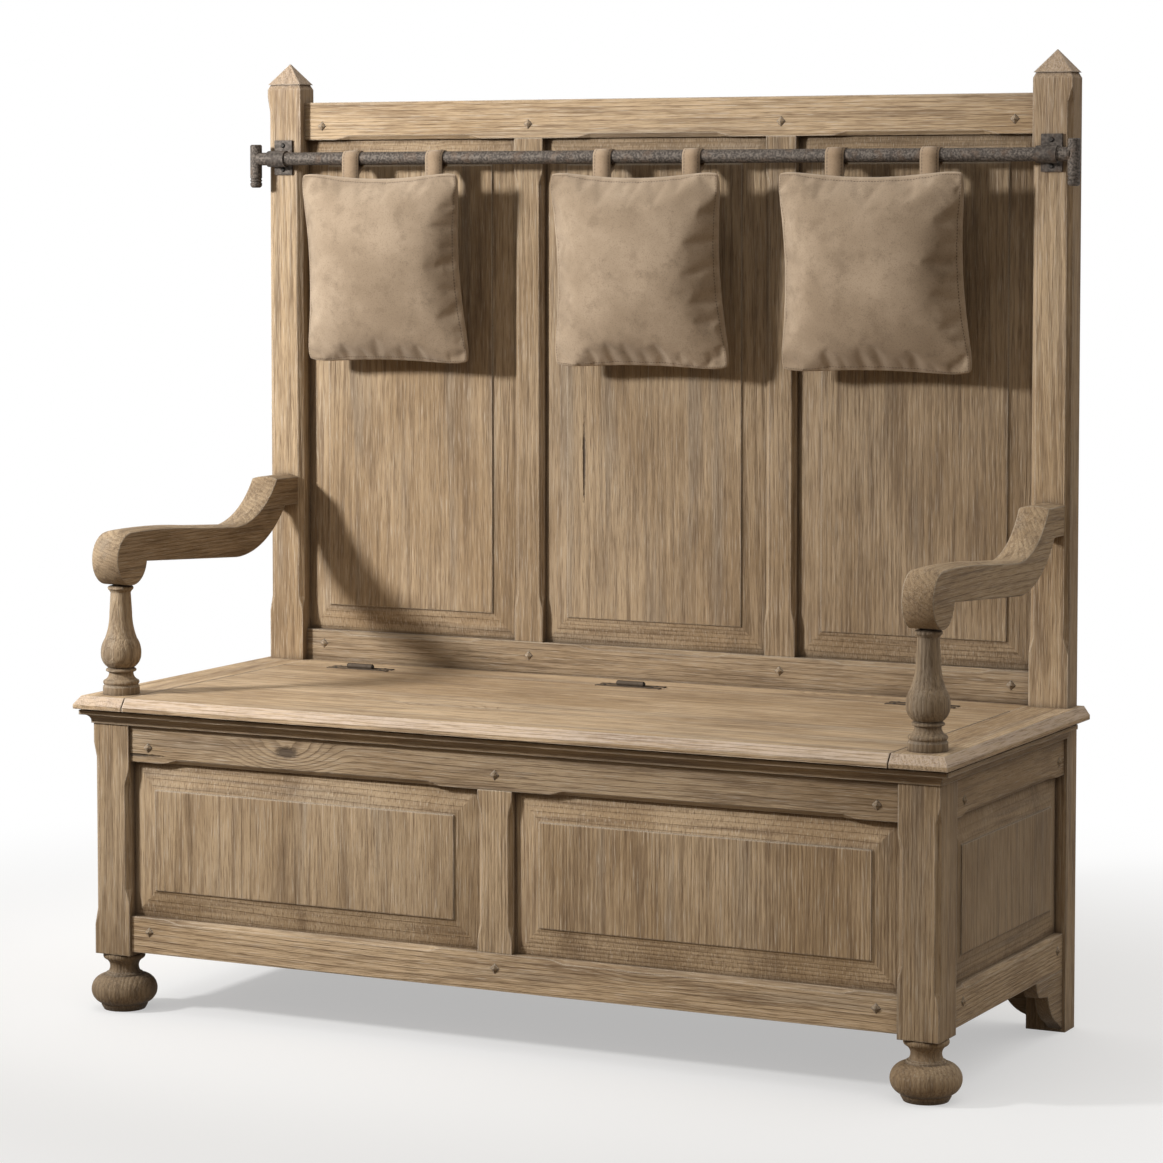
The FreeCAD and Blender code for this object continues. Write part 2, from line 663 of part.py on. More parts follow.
for side, word in ((-1, "left"), (1, "right")):
    top = side_rail("side_top_rail_" + word, side, (panel_top, carcass_top), top_tenon_z,
                    panel_top, 1, "Y_%s_under" % word, chest_peg_z[1])
    block(top, "side_top_rail_%s_band" % word, on_side(side, side_outer, half_base),
          (stile_back, post_front), (cove_bottom, carcass_top))
    low = side_rail("side_bottom_rail_" + word, side, (rail_bottom, panel_bottom),
                    bottom_tenon_z, panel_bottom, -1, "Y_%s_upper" % word, chest_peg_z[0])
    socket(low, "side_bottom_rail_%s_floor_groove" % word,
           on_side(side, side_inner, side_inner + d.tongue_depth),
           (stile_back, post_front), floor_z)
    raised_panel("side_panel_" + word, "YZ", (stile_back, post_front), panel_z,
                 side * side_outer, side)


# Rear posts

arm_z = (arm_top + arm_under) / 2


def rear_post(side, word):
    """A rear post from the floor to its pyramid, with all its mortises and grooves."""
    label = "rear_post_" + word
    body = new_body(label)
    x = on_side(side, post_inner, half_base)
    y = (post_front, seat_back)
    block(body, label + "_shaft", x, y, (0, shaft_top))
    recess = [(r[0] + d.band_inset, r[1] - d.band_inset) for r in (x, y)]
    band_top = shaft_top + d.post_band
    loft_between(body, label + "_band", "XY", rectangle(x, y), shaft_top,
                 rectangle(*recess), band_top)
    base = [(r[0] + d.pyramid_inset, r[1] - d.pyramid_inset) for r in (x, y)]
    half_tip = d.tip_width / 2
    tip = [((r[0] + r[1]) / 2 - half_tip, (r[0] + r[1]) / 2 + half_tip) for r in (x, y)]
    loft_between(body, label + "_pyramid", "XY", rectangle(*base), band_top,
                 rectangle(*tip), d.overall_height)
    inner_x = on_side(side, post_inner, post_inner + d.tenon_length)
    side_x = on_side(side, side_mid - half_tenon, side_mid + half_tenon)
    side_y = (post_front, post_front + d.tenon_length)
    socket(body, label + "_mortise_back_top", inner_x, back_tenon, back_top_tenon_z)
    socket(body, label + "_mortise_back_low", inner_x, back_tenon, back_low_tenon_z)
    socket(body, label + "_mortise_chest_back", inner_x, chest_back_tenon, bottom_tenon_z)
    socket(body, label + "_mortise_side_top", side_x, side_y, top_tenon_z)
    socket(body, label + "_mortise_side_low", side_x, side_y, bottom_tenon_z)
    groove_x = on_side(side, post_inner, post_inner + d.groove_depth)
    socket(body, label + "_groove_back", groove_x, back_groove,
           (back_panel_bottom - d.groove_depth, back_panel_top + d.groove_depth))
    socket(body, label + "_groove_chest", groove_x, chest_board_y,
           (panel_bottom - d.groove_depth, back_rail_foot + d.groove_depth))
    side_groove_x = in_order(*[side * level for level in panel_groove(side_outer, 1)])
    socket(body, label + "_groove_side", side_groove_x,
           (post_front, post_front + d.groove_depth),
           (panel_bottom - d.groove_depth, panel_top + d.groove_depth))
    round_holes(body, label + "_arm_hole", "XZ", [(side * post_middle, arm_z)],
                d.dowel + d.wood_fit / 2, post_front, post_front + d.dowel_length + 1)
    screws = [(side * post_middle, screw_z) for screw_z in plate_screw_z]
    round_holes(body, label + "_screw_holes", "XZ", screws, d.screw_radius + d.wood_fit / 2,
                post_front, post_front + d.screw_length + 1)
    start = back_panel_bottom + d.back_stop / 2
    outer_end = shaft_top - d.stop_run / 2
    inner_end = back_panel_top - d.back_stop / 2
    for edge, edge_x in (("Z_front_left", x[0]), ("Z_front_right", x[1])):
        outer = (edge == "Z_front_right") == (side > 0)
        stopped_chamfer(body, label + edge, edge, edge_x, post_front, 0, start,
                        outer_end if outer else inner_end, d.chamfer)


chest_board_y = (chest_back_mid - d.back_board / 2, chest_back_mid + d.back_board / 2)
plate_z = rod_z + d.plate_rise
plate_screw_z = (plate_z - d.plate_screw, plate_z + d.plate_screw)
for side, word in ((-1, "left"), (1, "right")):
    rear_post(side, word)


# Back

back_peg_x = (-(post_inner - d.peg_inset), -muntin_centre, muntin_centre,
              post_inner - d.peg_inset)
back_peg_z = (back_panel_bottom - d.peg_from_opening, back_panel_top + d.peg_from_opening)
back_y = (back_front, seat_back)
muntin_half = d.back_muntin / 2
back_bays = (
    (-post_inner, -(muntin_centre + muntin_half)),
    (-(muntin_centre - muntin_half), muntin_centre - muntin_half),
    (muntin_centre + muntin_half, post_inner),
)


def back_rail(label, z, tenon_z, panel_edge, into, edge, peg_z):
    """A rail of the back. into is the way its groove runs: 1 upwards, -1 downwards."""
    body = new_body(label)
    x = (-post_inner, post_inner)
    block(body, label + "_blank", x, back_y, z)
    reach = post_inner + d.tenon_length
    block(body, label + "_tenons", (-reach, reach), back_tenon, tenon_z)
    socket(body, label + "_groove", x, back_groove,
           in_order(panel_edge, panel_edge + into * d.groove_depth))
    mortise_z = in_order(panel_edge, panel_edge + into * d.muntin_tenon)
    half = muntin_half - d.tenon_shoulder
    for side, word in ((-1, "left"), (1, "right")):
        mortise_x = on_side(side, muntin_centre - half, muntin_centre + half)
        socket(body, label + "_mortise_" + word, mortise_x, back_tenon, mortise_z)
    round_holes(body, label + "_peg_holes", "XZ", [(peg_x, peg_z) for peg_x in back_peg_x],
                peg_hole, back_front, back_front + d.peg_length + 1)
    for number, (low, high) in enumerate(back_bays):
        stopped_chamfer(body, "%s_chamfer_%d" % (label, number), edge, 0, back_front,
                        panel_edge, low + d.back_stop, high - d.back_stop, d.rail_chamfer)
    return body


def back_muntin(side, word):
    """An upright between two panels of the back."""
    label = "back_muntin_" + word
    body = new_body(label)
    x = on_side(side, muntin_centre - muntin_half, muntin_centre + muntin_half)
    z = (back_panel_bottom, back_panel_top)
    block(body, label + "_blank", x, back_y, z)
    tenon_x = (x[0] + d.tenon_shoulder, x[1] - d.tenon_shoulder)
    block(body, label + "_tenons", tenon_x, back_tenon,
          (z[0] - d.muntin_tenon, z[1] + d.muntin_tenon))
    socket(body, label + "_groove_left", (x[0], x[0] + d.groove_depth), back_groove, z)
    socket(body, label + "_groove_right", (x[1] - d.groove_depth, x[1]), back_groove, z)
    holes = [(side * muntin_centre, peg_z) for peg_z in back_peg_z]
    round_holes(body, label + "_peg_holes", "XZ", holes, peg_hole,
                back_front, back_front + d.peg_length + 1)
    for edge, edge_x in (("Z_front_left", x[0]), ("Z_front_right", x[1])):
        stopped_chamfer(body, label + edge, edge, edge_x, back_front, 0,
                        z[0] + d.back_stop * 0.85, z[1] - d.back_stop * 0.85,
                        d.rail_chamfer)


back_rail("back_top_rail", (back_panel_top, back_top), back_top_tenon_z,
          back_panel_top, 1, "X_front_under", back_peg_z[1])
lower = back_rail("back_lower_rail", (back_rail_foot, back_panel_bottom),
                  back_low_tenon_z, back_panel_bottom, -1, "X_front_upper", back_peg_z[0])
socket(lower, "back_lower_rail_board_groove", (-post_inner, post_inner), chest_board_y,
       (back_rail_foot, back_rail_foot + d.groove_depth))
for side, word in ((-1, "left"), (1, "right")):
    back_muntin(side, word)
back_z = (back_panel_bottom, back_panel_top)
for word, bay in zip(("left", "centre", "right"), back_bays):
    raised_panel("back_panel_" + word, "XZ", bay, back_z, back_front, -1)


# Behind and inside the chest

def chest_back_rail():
    """The bottom rail behind the chest, grooved for the back board and the floor."""
    label = "chest_back_rail"
    body = new_body(label)
    x = (-post_inner, post_inner)
    block(body, label + "_blank", x, (chest_back_front, seat_back),
          (rail_bottom, panel_bottom))
    reach = post_inner + d.tenon_length
    block(body, label + "_tenons", (-reach, reach), chest_back_tenon, bottom_tenon_z)
    socket(body, label + "_board_groove", x, chest_board_y,
           (panel_bottom - d.groove_depth, panel_bottom))
    socket(body, label + "_floor_groove", x,
           (chest_back_front, chest_back_front + d.tongue_depth), floor_z)


chest_back_rail()

back_board = new_body("chest_back_board")
board_reach = post_inner + d.tongue_depth
block(back_board, "chest_back_board_blank", (-board_reach, board_reach), chest_board_y,
      (panel_bottom - d.tongue_depth, back_rail_foot + d.tongue_depth))

floor_half = side_inner + d.tongue_depth
floor_front = rail_back - d.tongue_depth
floor_back = chest_back_front + d.tongue_depth
corner_gap = d.wood_fit
floor = new_body("chest_floor")
extrude(floor, "chest_floor_blank", "XY", [[
    (-(stile_inner - corner_gap), floor_front),
    (stile_inner - corner_gap, floor_front),
    (stile_inner - corner_gap, stile_back + corner_gap),
    (floor_half, stile_back + corner_gap),
    (floor_half, post_front - corner_gap),
    (post_inner - corner_gap, post_front - corner_gap),
    (post_inner - corner_gap, floor_back),
    (-(post_inner - corner_gap), floor_back),
    (-(post_inner - corner_gap), post_front - corner_gap),
    (-floor_half, post_front - corner_gap),
    (-floor_half, stile_back + corner_gap),
    (-(stile_inner - corner_gap), stile_back + corner_gap),
]], *floor_z)

strip_front = hinge_y + d.lid_gap / 2
hinge_rail = new_body("hinge_rail")
block(hinge_rail, "hinge_rail_blank", (-post_inner, post_inner),
      (strip_front, back_front), (carcass_top - d.hinge_rail_height, carcass_top))


# Cove moulding under the seat's edge

def cove_outline(face, out):
    """Section of the cove: across from the frame's face, and height. out is the way it
    projects on the sketch's first direction."""
    step = d.cove_out / 6
    bend = d.cove_out - 2 * step
    inner = face + out * step
    outer = face + out * (d.cove_out - step)
    low = cove_bottom + step
    edge = face + out * d.cove_out
    return [
        (face, cove_bottom),
        (inner, cove_bottom),
        (inner, low, out * -1 * bend),
        (outer, low + bend),
        (edge, low + bend),
        (edge, cove_top),
        (face, cove_top),
    ]


def front_cove():
    """The front length, mitred at both ends."""
    body = new_body("cove_front")
    half = half_base + d.cove_out
    extrude(body, "cove_front_bar", "YZ", [cove_outline(stile_front, -1)], -half, half)
    reach = d.cove_out * 2
    for side, word in ((-1, "left"), (1, "right")):
        mitre = [
            (side * half_base, stile_front),
            (side * (half_base + reach), stile_front),
            (side * (half_base + reach), stile_front - reach),
        ]
        extrude(body, "cove_front_mitre_" + word, "XY", [mitre], cove_bottom - 1,
                cove_top + 1, cut=True)


def side_coves():
    """The two side lengths, mitred at the front and square at the rear posts."""
    body = new_body("cove_sides")
    reach = d.cove_out * 2
    for side, word in ((-1, "left"), (1, "right")):
        extrude(body, "cove_%s_bar" % word, "XZ", [cove_outline(side * half_base, side)],
                stile_front - d.cove_out, post_front)
    for side, word in ((-1, "left"), (1, "right")):
        mitre = [
            (side * half_base, stile_front),
            (side * half_base, stile_front - reach),
            (side * (half_base + reach), stile_front - reach),
        ]
        extrude(body, "cove_%s_mitre" % word, "XY", [mitre], cove_bottom - 1, cove_top + 1,
                cut=True)


front_cove()
side_coves()


# Seat boards and lid

slope = d.edge_drop / d.edge_run
seat_edge = half_seat - d.end_board


def edge_slope(tip, out):
    """What the sloping edge takes off a board whose outer face is at tip."""
    over = d.edge_run / 2
    return [
        (tip + out * over, d.seat_top - d.edge_drop - slope * over),
        (tip - out * (d.edge_run + over), d.seat_top + slope * over),
        (tip + out * over, d.seat_top + slope * over),
    ]


def end_board(side, word):
    """A fixed seat board under the arm, notched round the rear post."""
    label = "seat_end_board_" + word
    body = new_body(label)
    notch_x = half_base + d.rest_gap
    notch_y = post_front - d.rest_gap
    extrude(body, label + "_blank", "XY", [[
        (side * seat_edge, seat_front),
        (side * half_seat, seat_front),
        (side * half_seat, seat_back),
        (side * notch_x, seat_back),
        (side * notch_x, notch_y),
        (side * seat_edge, notch_y),
    ]], board_under, d.seat_top)
    extrude(body, label + "_front_slope", "YZ", [edge_slope(seat_front, -1)],
            *on_side(side, seat_edge - 1, half_seat + 1), cut=True)
    extrude(body, label + "_side_slope", "XZ", [edge_slope(side * half_seat, side)],
            seat_front - 1, seat_back + 1, cut=True)
    baluster_hole = [(side * post_middle, baluster_y)]
    round_holes(body, label + "_baluster_hole", "XY", baluster_hole,
                d.dowel + d.wood_fit / 2, board_under - 1, d.seat_top + 1)


for side, word in ((-1, "left"), (1, "right")):
    end_board(side, word)

half_lid = seat_edge - d.lid_gap
lid_back = hinge_y - d.lid_gap / 2
hinge_x = (-(half_lid - d.hinge_from_end), 0, half_lid - d.hinge_from_end)
screw_x = [x + out * d.leaf_screw for x in hinge_x for out in (-1, 1)]
screw_reach = d.leaf_depth * 0.6
lid = new_body("lid")
extrude(lid, "lid_blank", "YZ", [[
    (seat_front, board_under),
    (lid_back, board_under),
    (lid_back, d.seat_top),
    (seat_front + d.edge_run, d.seat_top),
    (seat_front, d.seat_top - d.edge_drop),
]], -half_lid, half_lid)
leaf_hole = d.leaf_screw_radius + d.wood_fit / 2
round_holes(lid, "lid_screw_holes", "XY", [(x, hinge_y - screw_reach) for x in screw_x],
            leaf_hole, d.seat_top - d.leaf_screw_length - 1, d.seat_top + 1)

strip = new_body("seat_back_strip")
strip_half = seat_edge - d.rest_gap
ear = post_inner - d.rest_gap
ear_y = post_front - d.rest_gap
strip_back = back_front - d.rest_gap
extrude(strip, "seat_back_strip_blank", "XY", [[
    (-strip_half, strip_front),
    (strip_half, strip_front),
    (strip_half, ear_y),
    (ear, ear_y),
    (ear, strip_back),
    (-ear, strip_back),
    (-ear, ear_y),
    (-strip_half, ear_y),
]], board_under, d.seat_top)
round_holes(strip, "strip_screw_holes", "XY", [(x, hinge_y + screw_reach) for x in screw_x],
            leaf_hole, d.seat_top - d.leaf_screw_length - 1, d.seat_top + 1)


def box_shape(x, y, z):
    """A plain box from its three ranges."""
    low = Vector(mm(x[0]), mm(y[0]), mm(z[0]))
    high = Vector(mm(x[1]), mm(y[1]), mm(z[1]))
    span = high - low
    return Part.makeBox(span.x, span.y, span.z, low)


batten_y = (rail_back + d.batten_inset, strip_front - d.batten_inset)
batten_centre = half_lid - d.batten_from_end
battens = []
for x in (-batten_centre, 0, batten_centre):
    batten_x = (x - d.batten_width / 2, x + d.batten_width / 2)
    battens.append(box_shape(batten_x, batten_y, (board_under - d.batten_thick, board_under)))
feature_of("lid_battens", Part.makeCompound(battens))


# Feet and brackets

def bun_foot(side, word):
    """A turned bun foot with its dowel in the front stile."""
    label = "bun_foot_" + word
    body = new_body(label)
    centre_x = side * (stile_inner + half_base) / 2
    centre_y = (stile_front + stile_back) / 2
    rim = d.foot_ball - d.foot_roll
    middle = d.foot_roll + 9
    collar = middle + d.foot_roll + 3
    bead = d.foot_base - 3
    bead_foot = d.stile_foot - 11
    turned(body, label + "_turning", centre_x, centre_y, [
        (0, 0),
        (d.foot_base, 0),
        (d.foot_base + 4, 7),
        (rim + d.foot_roll / 3, middle - d.foot_roll * 0.9428, d.foot_roll),
        (rim, middle + d.foot_roll),
        (rim, collar),
        (d.foot_neck + 2, collar + 1.5),
        (d.foot_neck, collar + 7, -14),
        (bead, bead_foot, (d.stile_foot - bead_foot) * 0.55),
        (bead, d.stile_foot),
        (d.dowel, d.stile_foot),
        (d.dowel, d.stile_foot + d.dowel_length),
        (0, d.stile_foot + d.dowel_length),
    ])


def side_brackets():
    """The two scrolled brackets under the side rails, in front of the rear posts."""
    body = new_body("side_brackets")
    top = rail_bottom
    root = post_front
    thick = d.rail_thick - d.rail_setback
    for side, word in ((-1, "left"), (1, "right")):
        extrude(body, "side_bracket_" + word, "YZ", [[
            (root, top),
            (root - top * 1.2, top, top / 3),
            (root - top * 1.07, top * 0.75),
            (root - top * 0.67, top * 0.69, top * 0.75),
            (root - top * 0.21, top * 0.19),
            (root, top * 0.05),
        ]], *on_side(side, side_outer - thick, side_outer))


def back_brackets():
    """The two scrolled brackets under the rail behind the chest, beside the rear posts."""
    body = new_body("back_brackets")
    top = rail_bottom
    root = post_inner
    for side, word in ((-1, "left"), (1, "right")):
        extrude(body, "back_bracket_" + word, "XZ", [[
            (side * root, top),
            (side * (root - top * 0.75), top, side * (top / 3)),
            (side * (root - top * 0.61), top * 0.75),
            (side * (root - top * 0.48), top * 0.7, side * (top * 0.57)),
            (side * (root - top * 0.07), top * 0.19),
            (side * root, top * 0.13),
        ]], chest_back_front, seat_back - d.rail_setback)


for side, word in ((-1, "left"), (1, "right")):
    bun_foot(side, word)
side_brackets()
back_brackets()


# Balusters and arms

def baluster(side, word):
    """A turned baluster between the fixed seat board and the arm's scroll."""
    label = "baluster_" + word
    body = new_body(label)
    foot = d.seat_top
    height = scroll_under - d.collar_gap - foot
    top = foot + height
    base = d.baluster_base
    swell = d.baluster_swell
    neck = d.baluster_neck
    turned(body, label + "_turning", side * post_middle, baluster_y, [
        (0, foot - d.board + 1),
        (d.dowel, foot - d.board + 1),
        (d.dowel, foot),
        (base, foot),
        (base, foot + height * 0.073),
        (base - 2, foot + height * 0.081),
        (base - 2, foot + height * 0.092, height * 0.022),
        (base - 2, foot + height * 0.128, height * -0.073),
        (base * 0.667, foot + height * 0.2),
        (base * 0.8, foot + height * 0.21, height * 0.0134),
        (base * 0.8, foot + height * 0.232),
        (base * 0.7, foot + height * 0.243, height * 0.145),
        (swell, foot + height * 0.363, height * 0.246),
        (swell * 0.79, foot + height * 0.514, height * -0.67),
        (neck + 2, foot + height * 0.75),
        (neck, foot + height * 0.933),
        (neck + 2.5, top - 8, 3.6),
        (neck + 2.5, top - 1.5),
        (d.dowel + 3, top),
        (d.dowel + 3, scroll_under - d.rest_gap),
        (d.dowel, scroll_under - d.rest_gap),
        (d.dowel, scroll_under + d.dowel_length),
        (0, scroll_under + d.dowel_length),
    ])


# Sections of an arm's crown: the distance from the side face over half the arm's width.
CROWN_STEPS = (0, 0.22, 0.48, 0.78)


def arm_outline(crown):
    """An arm from the side, with its top and the front of its scroll raised by crown."""
    r = d.scroll_radius
    top = arm_top + crown
    drop = top - 73.3
    sag = arm_under - 77.5
    sweep_y = post_front - d.arm_flat
    return [
        (post_front, top),
        (sweep_y, top, -162),
        (sweep_y - 137, drop),
        (sweep_y - 257, drop + 8, 1600),
        (scroll_y, scroll_z + r + crown, r + crown),
        (scroll_y - r - crown, scroll_z, r + crown / 2),
        (scroll_y, scroll_z - r, r),
        (scroll_y + r * 0.988, scroll_z - r * 0.154),
        (sweep_y - 132, sag, 201),
        (sweep_y + 27, arm_under),
        (post_front, arm_under),
    ]


def arm(side, word):
    """A scrolled arm, doweled to the rear post and standing on its baluster. Its sections
    follow the crown from each side face to the middle, where the rise is greatest."""
    label = "arm_" + word
    body = new_body(label)
    half = d.arm_width / 2
    levels = [half * (1 - step) for step in CROWN_STEPS]
    crowns = [d.arm_crown * (1 - (1 - step) ** 2) for step in CROWN_STEPS]
    middle_x = side * post_middle
    extrude(body, label + "_middle", "YZ", [arm_outline(crowns[-1])],
            middle_x - levels[-1], middle_x + levels[-1])
    for way, edge in ((-1, "_low"), (1, "_high")):
        for number in range(len(levels) - 1, 0, -1):
            loft_between(body, "%s%s_%d" % (label, edge, number), "YZ",
                         arm_outline(crowns[number]), middle_x + way * levels[number],
                         arm_outline(crowns[number - 1]), middle_x + way * levels[number - 1])
    round_holes(body, label + "_dowel", "XZ", [(middle_x, arm_z)], d.dowel,
                post_front - 1, post_front + d.dowel_length, cut=False)
    round_holes(body, label + "_baluster_hole", "XY", [(middle_x, baluster_y)],
                d.dowel + d.wood_fit / 2, scroll_under - 1, scroll_under + d.dowel_length + 1)


for side, word in ((-1, "left"), (1, "right")):
    baluster(side, word)
    arm(side, word)


# Pegs with square pyramid heads

def peg_shape(place, out):
    """One peg: its head stands on the wood's face at place, and its shank runs inwards."""
    place = Vector(*[mm(length) for length in place])
    half = mm(d.peg_side) / math.sqrt(2)
    across = Vector(0, 0, 1)
    along = out.cross(across)
    corners = [place + across * half, place + along * half,
               place - across * half, place - along * half]
    tip = place + out * mm(d.peg_head)
    faces = [Part.Face(Part.makePolygon(corners + corners[:1]))]
    for a, b in zip(corners, corners[1:] + corners[:1]):
        faces.append(Part.Face(Part.makePolygon([a, b, tip, a])))
    head = Part.Solid(Part.Shell(faces))
    shank = Part.makeCylinder(mm(d.peg_radius), mm(d.peg_length), place, out * -1)
    return head.fuse(shank).removeSplitter()


FRONT = Vector(0, -1, 0)
all_pegs = []
for z in chest_peg_z:
    all_pegs += [peg_shape((x, rail_front, z), FRONT) for x in chest_peg_x]
    for side in (-1, 1):
        all_pegs += [peg_shape((side * side_outer, y, z), Vector(side, 0, 0))
                     for y in side_peg_y]
for z in back_peg_z:
    all_pegs += [peg_shape((x, back_front, z), FRONT) for x in back_peg_x]
feature_of("pegs", Part.makeCompound(all_pegs))


# Hinges of the lid

pin_z = d.seat_top + d.knuckle_radius + d.rest_gap
pitch = d.knuckle_length + d.knuckle_gap
knuckle_bore = d.hinge_pin + d.pin_fit
KNUCKLES = 5


def leaf_shape(centre, out):
    """One hinge leaf on the boards. out is 1 for the fixed strip, -1 for the lid. The
    strip's leaf carries the odd knuckles and the lid's leaf the even ones."""
    inner = hinge_y + out * (d.knuckle_radius + d.rest_gap)
    outer = hinge_y + out * d.leaf_depth
    plate_x = (centre - d.leaf_length / 2, centre + d.leaf_length / 2)
    z = (d.seat_top, d.seat_top + d.leaf_thick)
    leaf = box_shape(plate_x, in_order(inner, outer), z)
    first = 0 if out > 0 else 1
    for number in range(first, KNUCKLES, 2):
        start = centre + (number - KNUCKLES / 2) * pitch + d.knuckle_gap / 2
        knuckle_x = (start, start + d.knuckle_length)
        arm_y = in_order(hinge_y, inner + out * 0.5)
        leaf = leaf.fuse(box_shape(knuckle_x, arm_y, z))
        leaf = leaf.fuse(Part.makeCylinder(mm(d.knuckle_radius), mm(d.knuckle_length),
                                           Vector(mm(start), mm(hinge_y), mm(pin_z)),
                                           Vector(1, 0, 0)))
    length = mm(pitch) * KNUCKLES + 2
    bore = Part.makeCylinder(mm(knuckle_bore), length,
                             Vector(mm(centre) - length / 2, mm(hinge_y), mm(pin_z)),
                             Vector(1, 0, 0))
    leaf = leaf.cut(bore)
    for way in (-1, 1):
        place = Vector(mm(centre + way * d.leaf_screw), mm(hinge_y + out * screw_reach),
                       mm(d.seat_top) - 1)
        leaf = leaf.cut(Part.makeCylinder(mm(leaf_hole), mm(d.leaf_thick) + 2, place))
    return leaf.removeSplitter()


def hinge_pin_shape(centre):
    """A hinge pin with a small head at each end."""
    half = mm(pitch) * KNUCKLES / 2 + 0.3
    start = Vector(mm(centre) - half, mm(hinge_y), mm(pin_z))
    pin = Part.makeCylinder(mm(d.hinge_pin), 2 * half, start, Vector(1, 0, 0))
    head = 1.2
    for shift in (-head, 2 * half):
        place = start + Vector(shift, 0, 0)
        pin = pin.fuse(Part.makeCylinder(mm(d.hinge_pin) * 1.5, head, place, Vector(1, 0, 0)))
    return pin.removeSplitter()


def leaf_screw_shape(x, out):
    """A dome-headed screw through a hinge leaf."""
    top = mm(d.seat_top + d.leaf_thick)
    place = Vector(mm(x), mm(hinge_y + out * screw_reach), top)
    length = mm(d.leaf_screw_length)
    shank = Part.makeCylinder(mm(d.leaf_screw_radius), length, place - Vector(0, 0, length))
    radius = mm(d.leaf_screw_head)
    return shank.fuse(Part.makeCone(radius, radius * 0.6, 1, place)).removeSplitter()


for label, out in (("lid", -1), ("strip", 1)):
    feature_of("hinge_leaves_" + label,
               Part.makeCompound([leaf_shape(x, out) for x in hinge_x]))
    feature_of("hinge_screws_" + label,
               Part.makeCompound([leaf_screw_shape(x, out) for x in screw_x]))
feature_of("hinge_pins", Part.makeCompound([hinge_pin_shape(x) for x in hinge_x]))


# Rod, its end bars and its brackets

cross_centre = half_base + d.cross_gap + d.cross_bar
rod_end = cross_centre - d.cross_bar / 2
rod = new_body("rod")
round_holes(rod, "rod_bar", "YZ", [(rod_y, rod_z)], d.rod_radius, -rod_end, rod_end,
            cut=False)


def cross_bar(side, word):
    """The upright bar on one end of the rod, with two rings near its rounded foot."""
    label = "rod_end_bar_" + word
    body = new_body(label)
    r = d.cross_bar
    top = rod_z + d.cross_above
    foot = rod_z - d.cross_below
    turned(body, label + "_turning", side * cross_centre, rod_y, [
        (0, foot),
        (r * 0.6, foot, 6.2),
        (r, foot + 5),
        (r, foot + 8),
        (r - 1.2, foot + 9),
        (r - 1.2, foot + 10.5),
        (r, foot + 11.5),
        (r, foot + 13.5),
        (r - 1.2, foot + 14.5),
        (r - 1.2, foot + 16),
        (r, foot + 17),
        (r, top - 2),
        (r - 2, top),
        (0, top),
    ])
    saddle = on_side(side, cross_centre - r - 1, rod_end)
    round_holes(body, label + "_saddle", "YZ", [(rod_y, rod_z)],
                d.rod_radius + d.pin_fit, *saddle)


def rod_bracket(side, word):
    """A screwed plate with a sleeve that the rod turns in."""
    label = "rod_bracket_" + word
    body = new_body(label)
    x = (side * post_middle - d.plate_width / 2, side * post_middle + d.plate_width / 2)
    plate_y = (post_front - d.plate_thick, post_front)
    z = (plate_z - d.plate_height / 2, plate_z + d.plate_height / 2)
    block(body, label + "_plate", x, plate_y, z)
    web = d.sleeve_radius * 0.8
    block(body, label + "_web", x, (rod_y, plate_y[0]),
          (rod_z - web, rod_z + web))
    centre = [(rod_y, rod_z)]
    round_holes(body, label + "_sleeve", "YZ", centre, d.sleeve_radius, *x, cut=False)
    round_holes(body, label + "_bore", "YZ", centre, d.rod_radius + d.pin_fit,
                x[0] - 1, x[1] + 1)
    round_holes(body, label + "_screw_holes", "XZ",
                [(side * post_middle, screw_z) for screw_z in plate_screw_z],
                d.screw_radius + d.wood_fit / 2, plate_y[0] - 1, plate_y[1] + 1)


def bracket_screw_shape(side, screw_z):
    """A dome-headed screw through a bracket's plate into the post."""
    face = Vector(mm(side * post_middle), mm(post_front - d.plate_thick), mm(screw_z))
    length = mm(d.plate_thick + d.screw_length)
    shank = Part.makeCylinder(mm(d.screw_radius), length, face, Vector(0, 1, 0))
    radius = mm(d.screw_head)
    head = Part.makeCone(radius, radius * 0.6, radius * 0.6, face, FRONT)
    return shank.fuse(head).removeSplitter()


screws = []
for side, word in ((-1, "left"), (1, "right")):
    cross_bar(side, word)
    rod_bracket(side, word)
    screws += [bracket_screw_shape(side, screw_z) for screw_z in plate_screw_z]
feature_of("bracket_screws", Part.makeCompound(screws))


# Cushions and straps

# Levels of a cushion's sections, as fractions of half its thickness.
SECTION_LEVELS = (0.3, 0.55, 0.75, 0.87, 0.93)


def cushion_section(fraction):
    """One closed outline of a cushion at a fraction -1 to 1 of half its thickness. Its size
    falls towards both faces, and its sides turn from hollow at the seam to round."""
    depth = abs(fraction)
    size = (1 - depth ** 1.7) ** 0.5
    half = mm(d.cushion_side) / 2 * size
    draw = mm(d.cushion_draw) * (1 - 2.4 * depth) * size
    level = mm(d.cushion_thick) / 2 * fraction
    corners = [Vector(-half, level, -half), Vector(half, level, -half),
               Vector(half, level, half), Vector(-half, level, half)]
    edges = []
    for a, b in zip(corners, corners[1:] + corners[:1]):
        middle = (a + b) * 0.5
        inward = Vector(-middle.x, 0, -middle.z).normalize()
        edges.append(Part.Arc(a, middle + inward * draw, b).toShape())
    return Part.Wire(edges)


def cushion_shape():
    """A crowned square cushion with drawn-in sides, its middle at the origin."""
    fractions = [-f for f in reversed(SECTION_LEVELS)] + [0] + list(SECTION_LEVELS)
    return Part.makeLoft([cushion_section(f) for f in fractions], True, False)


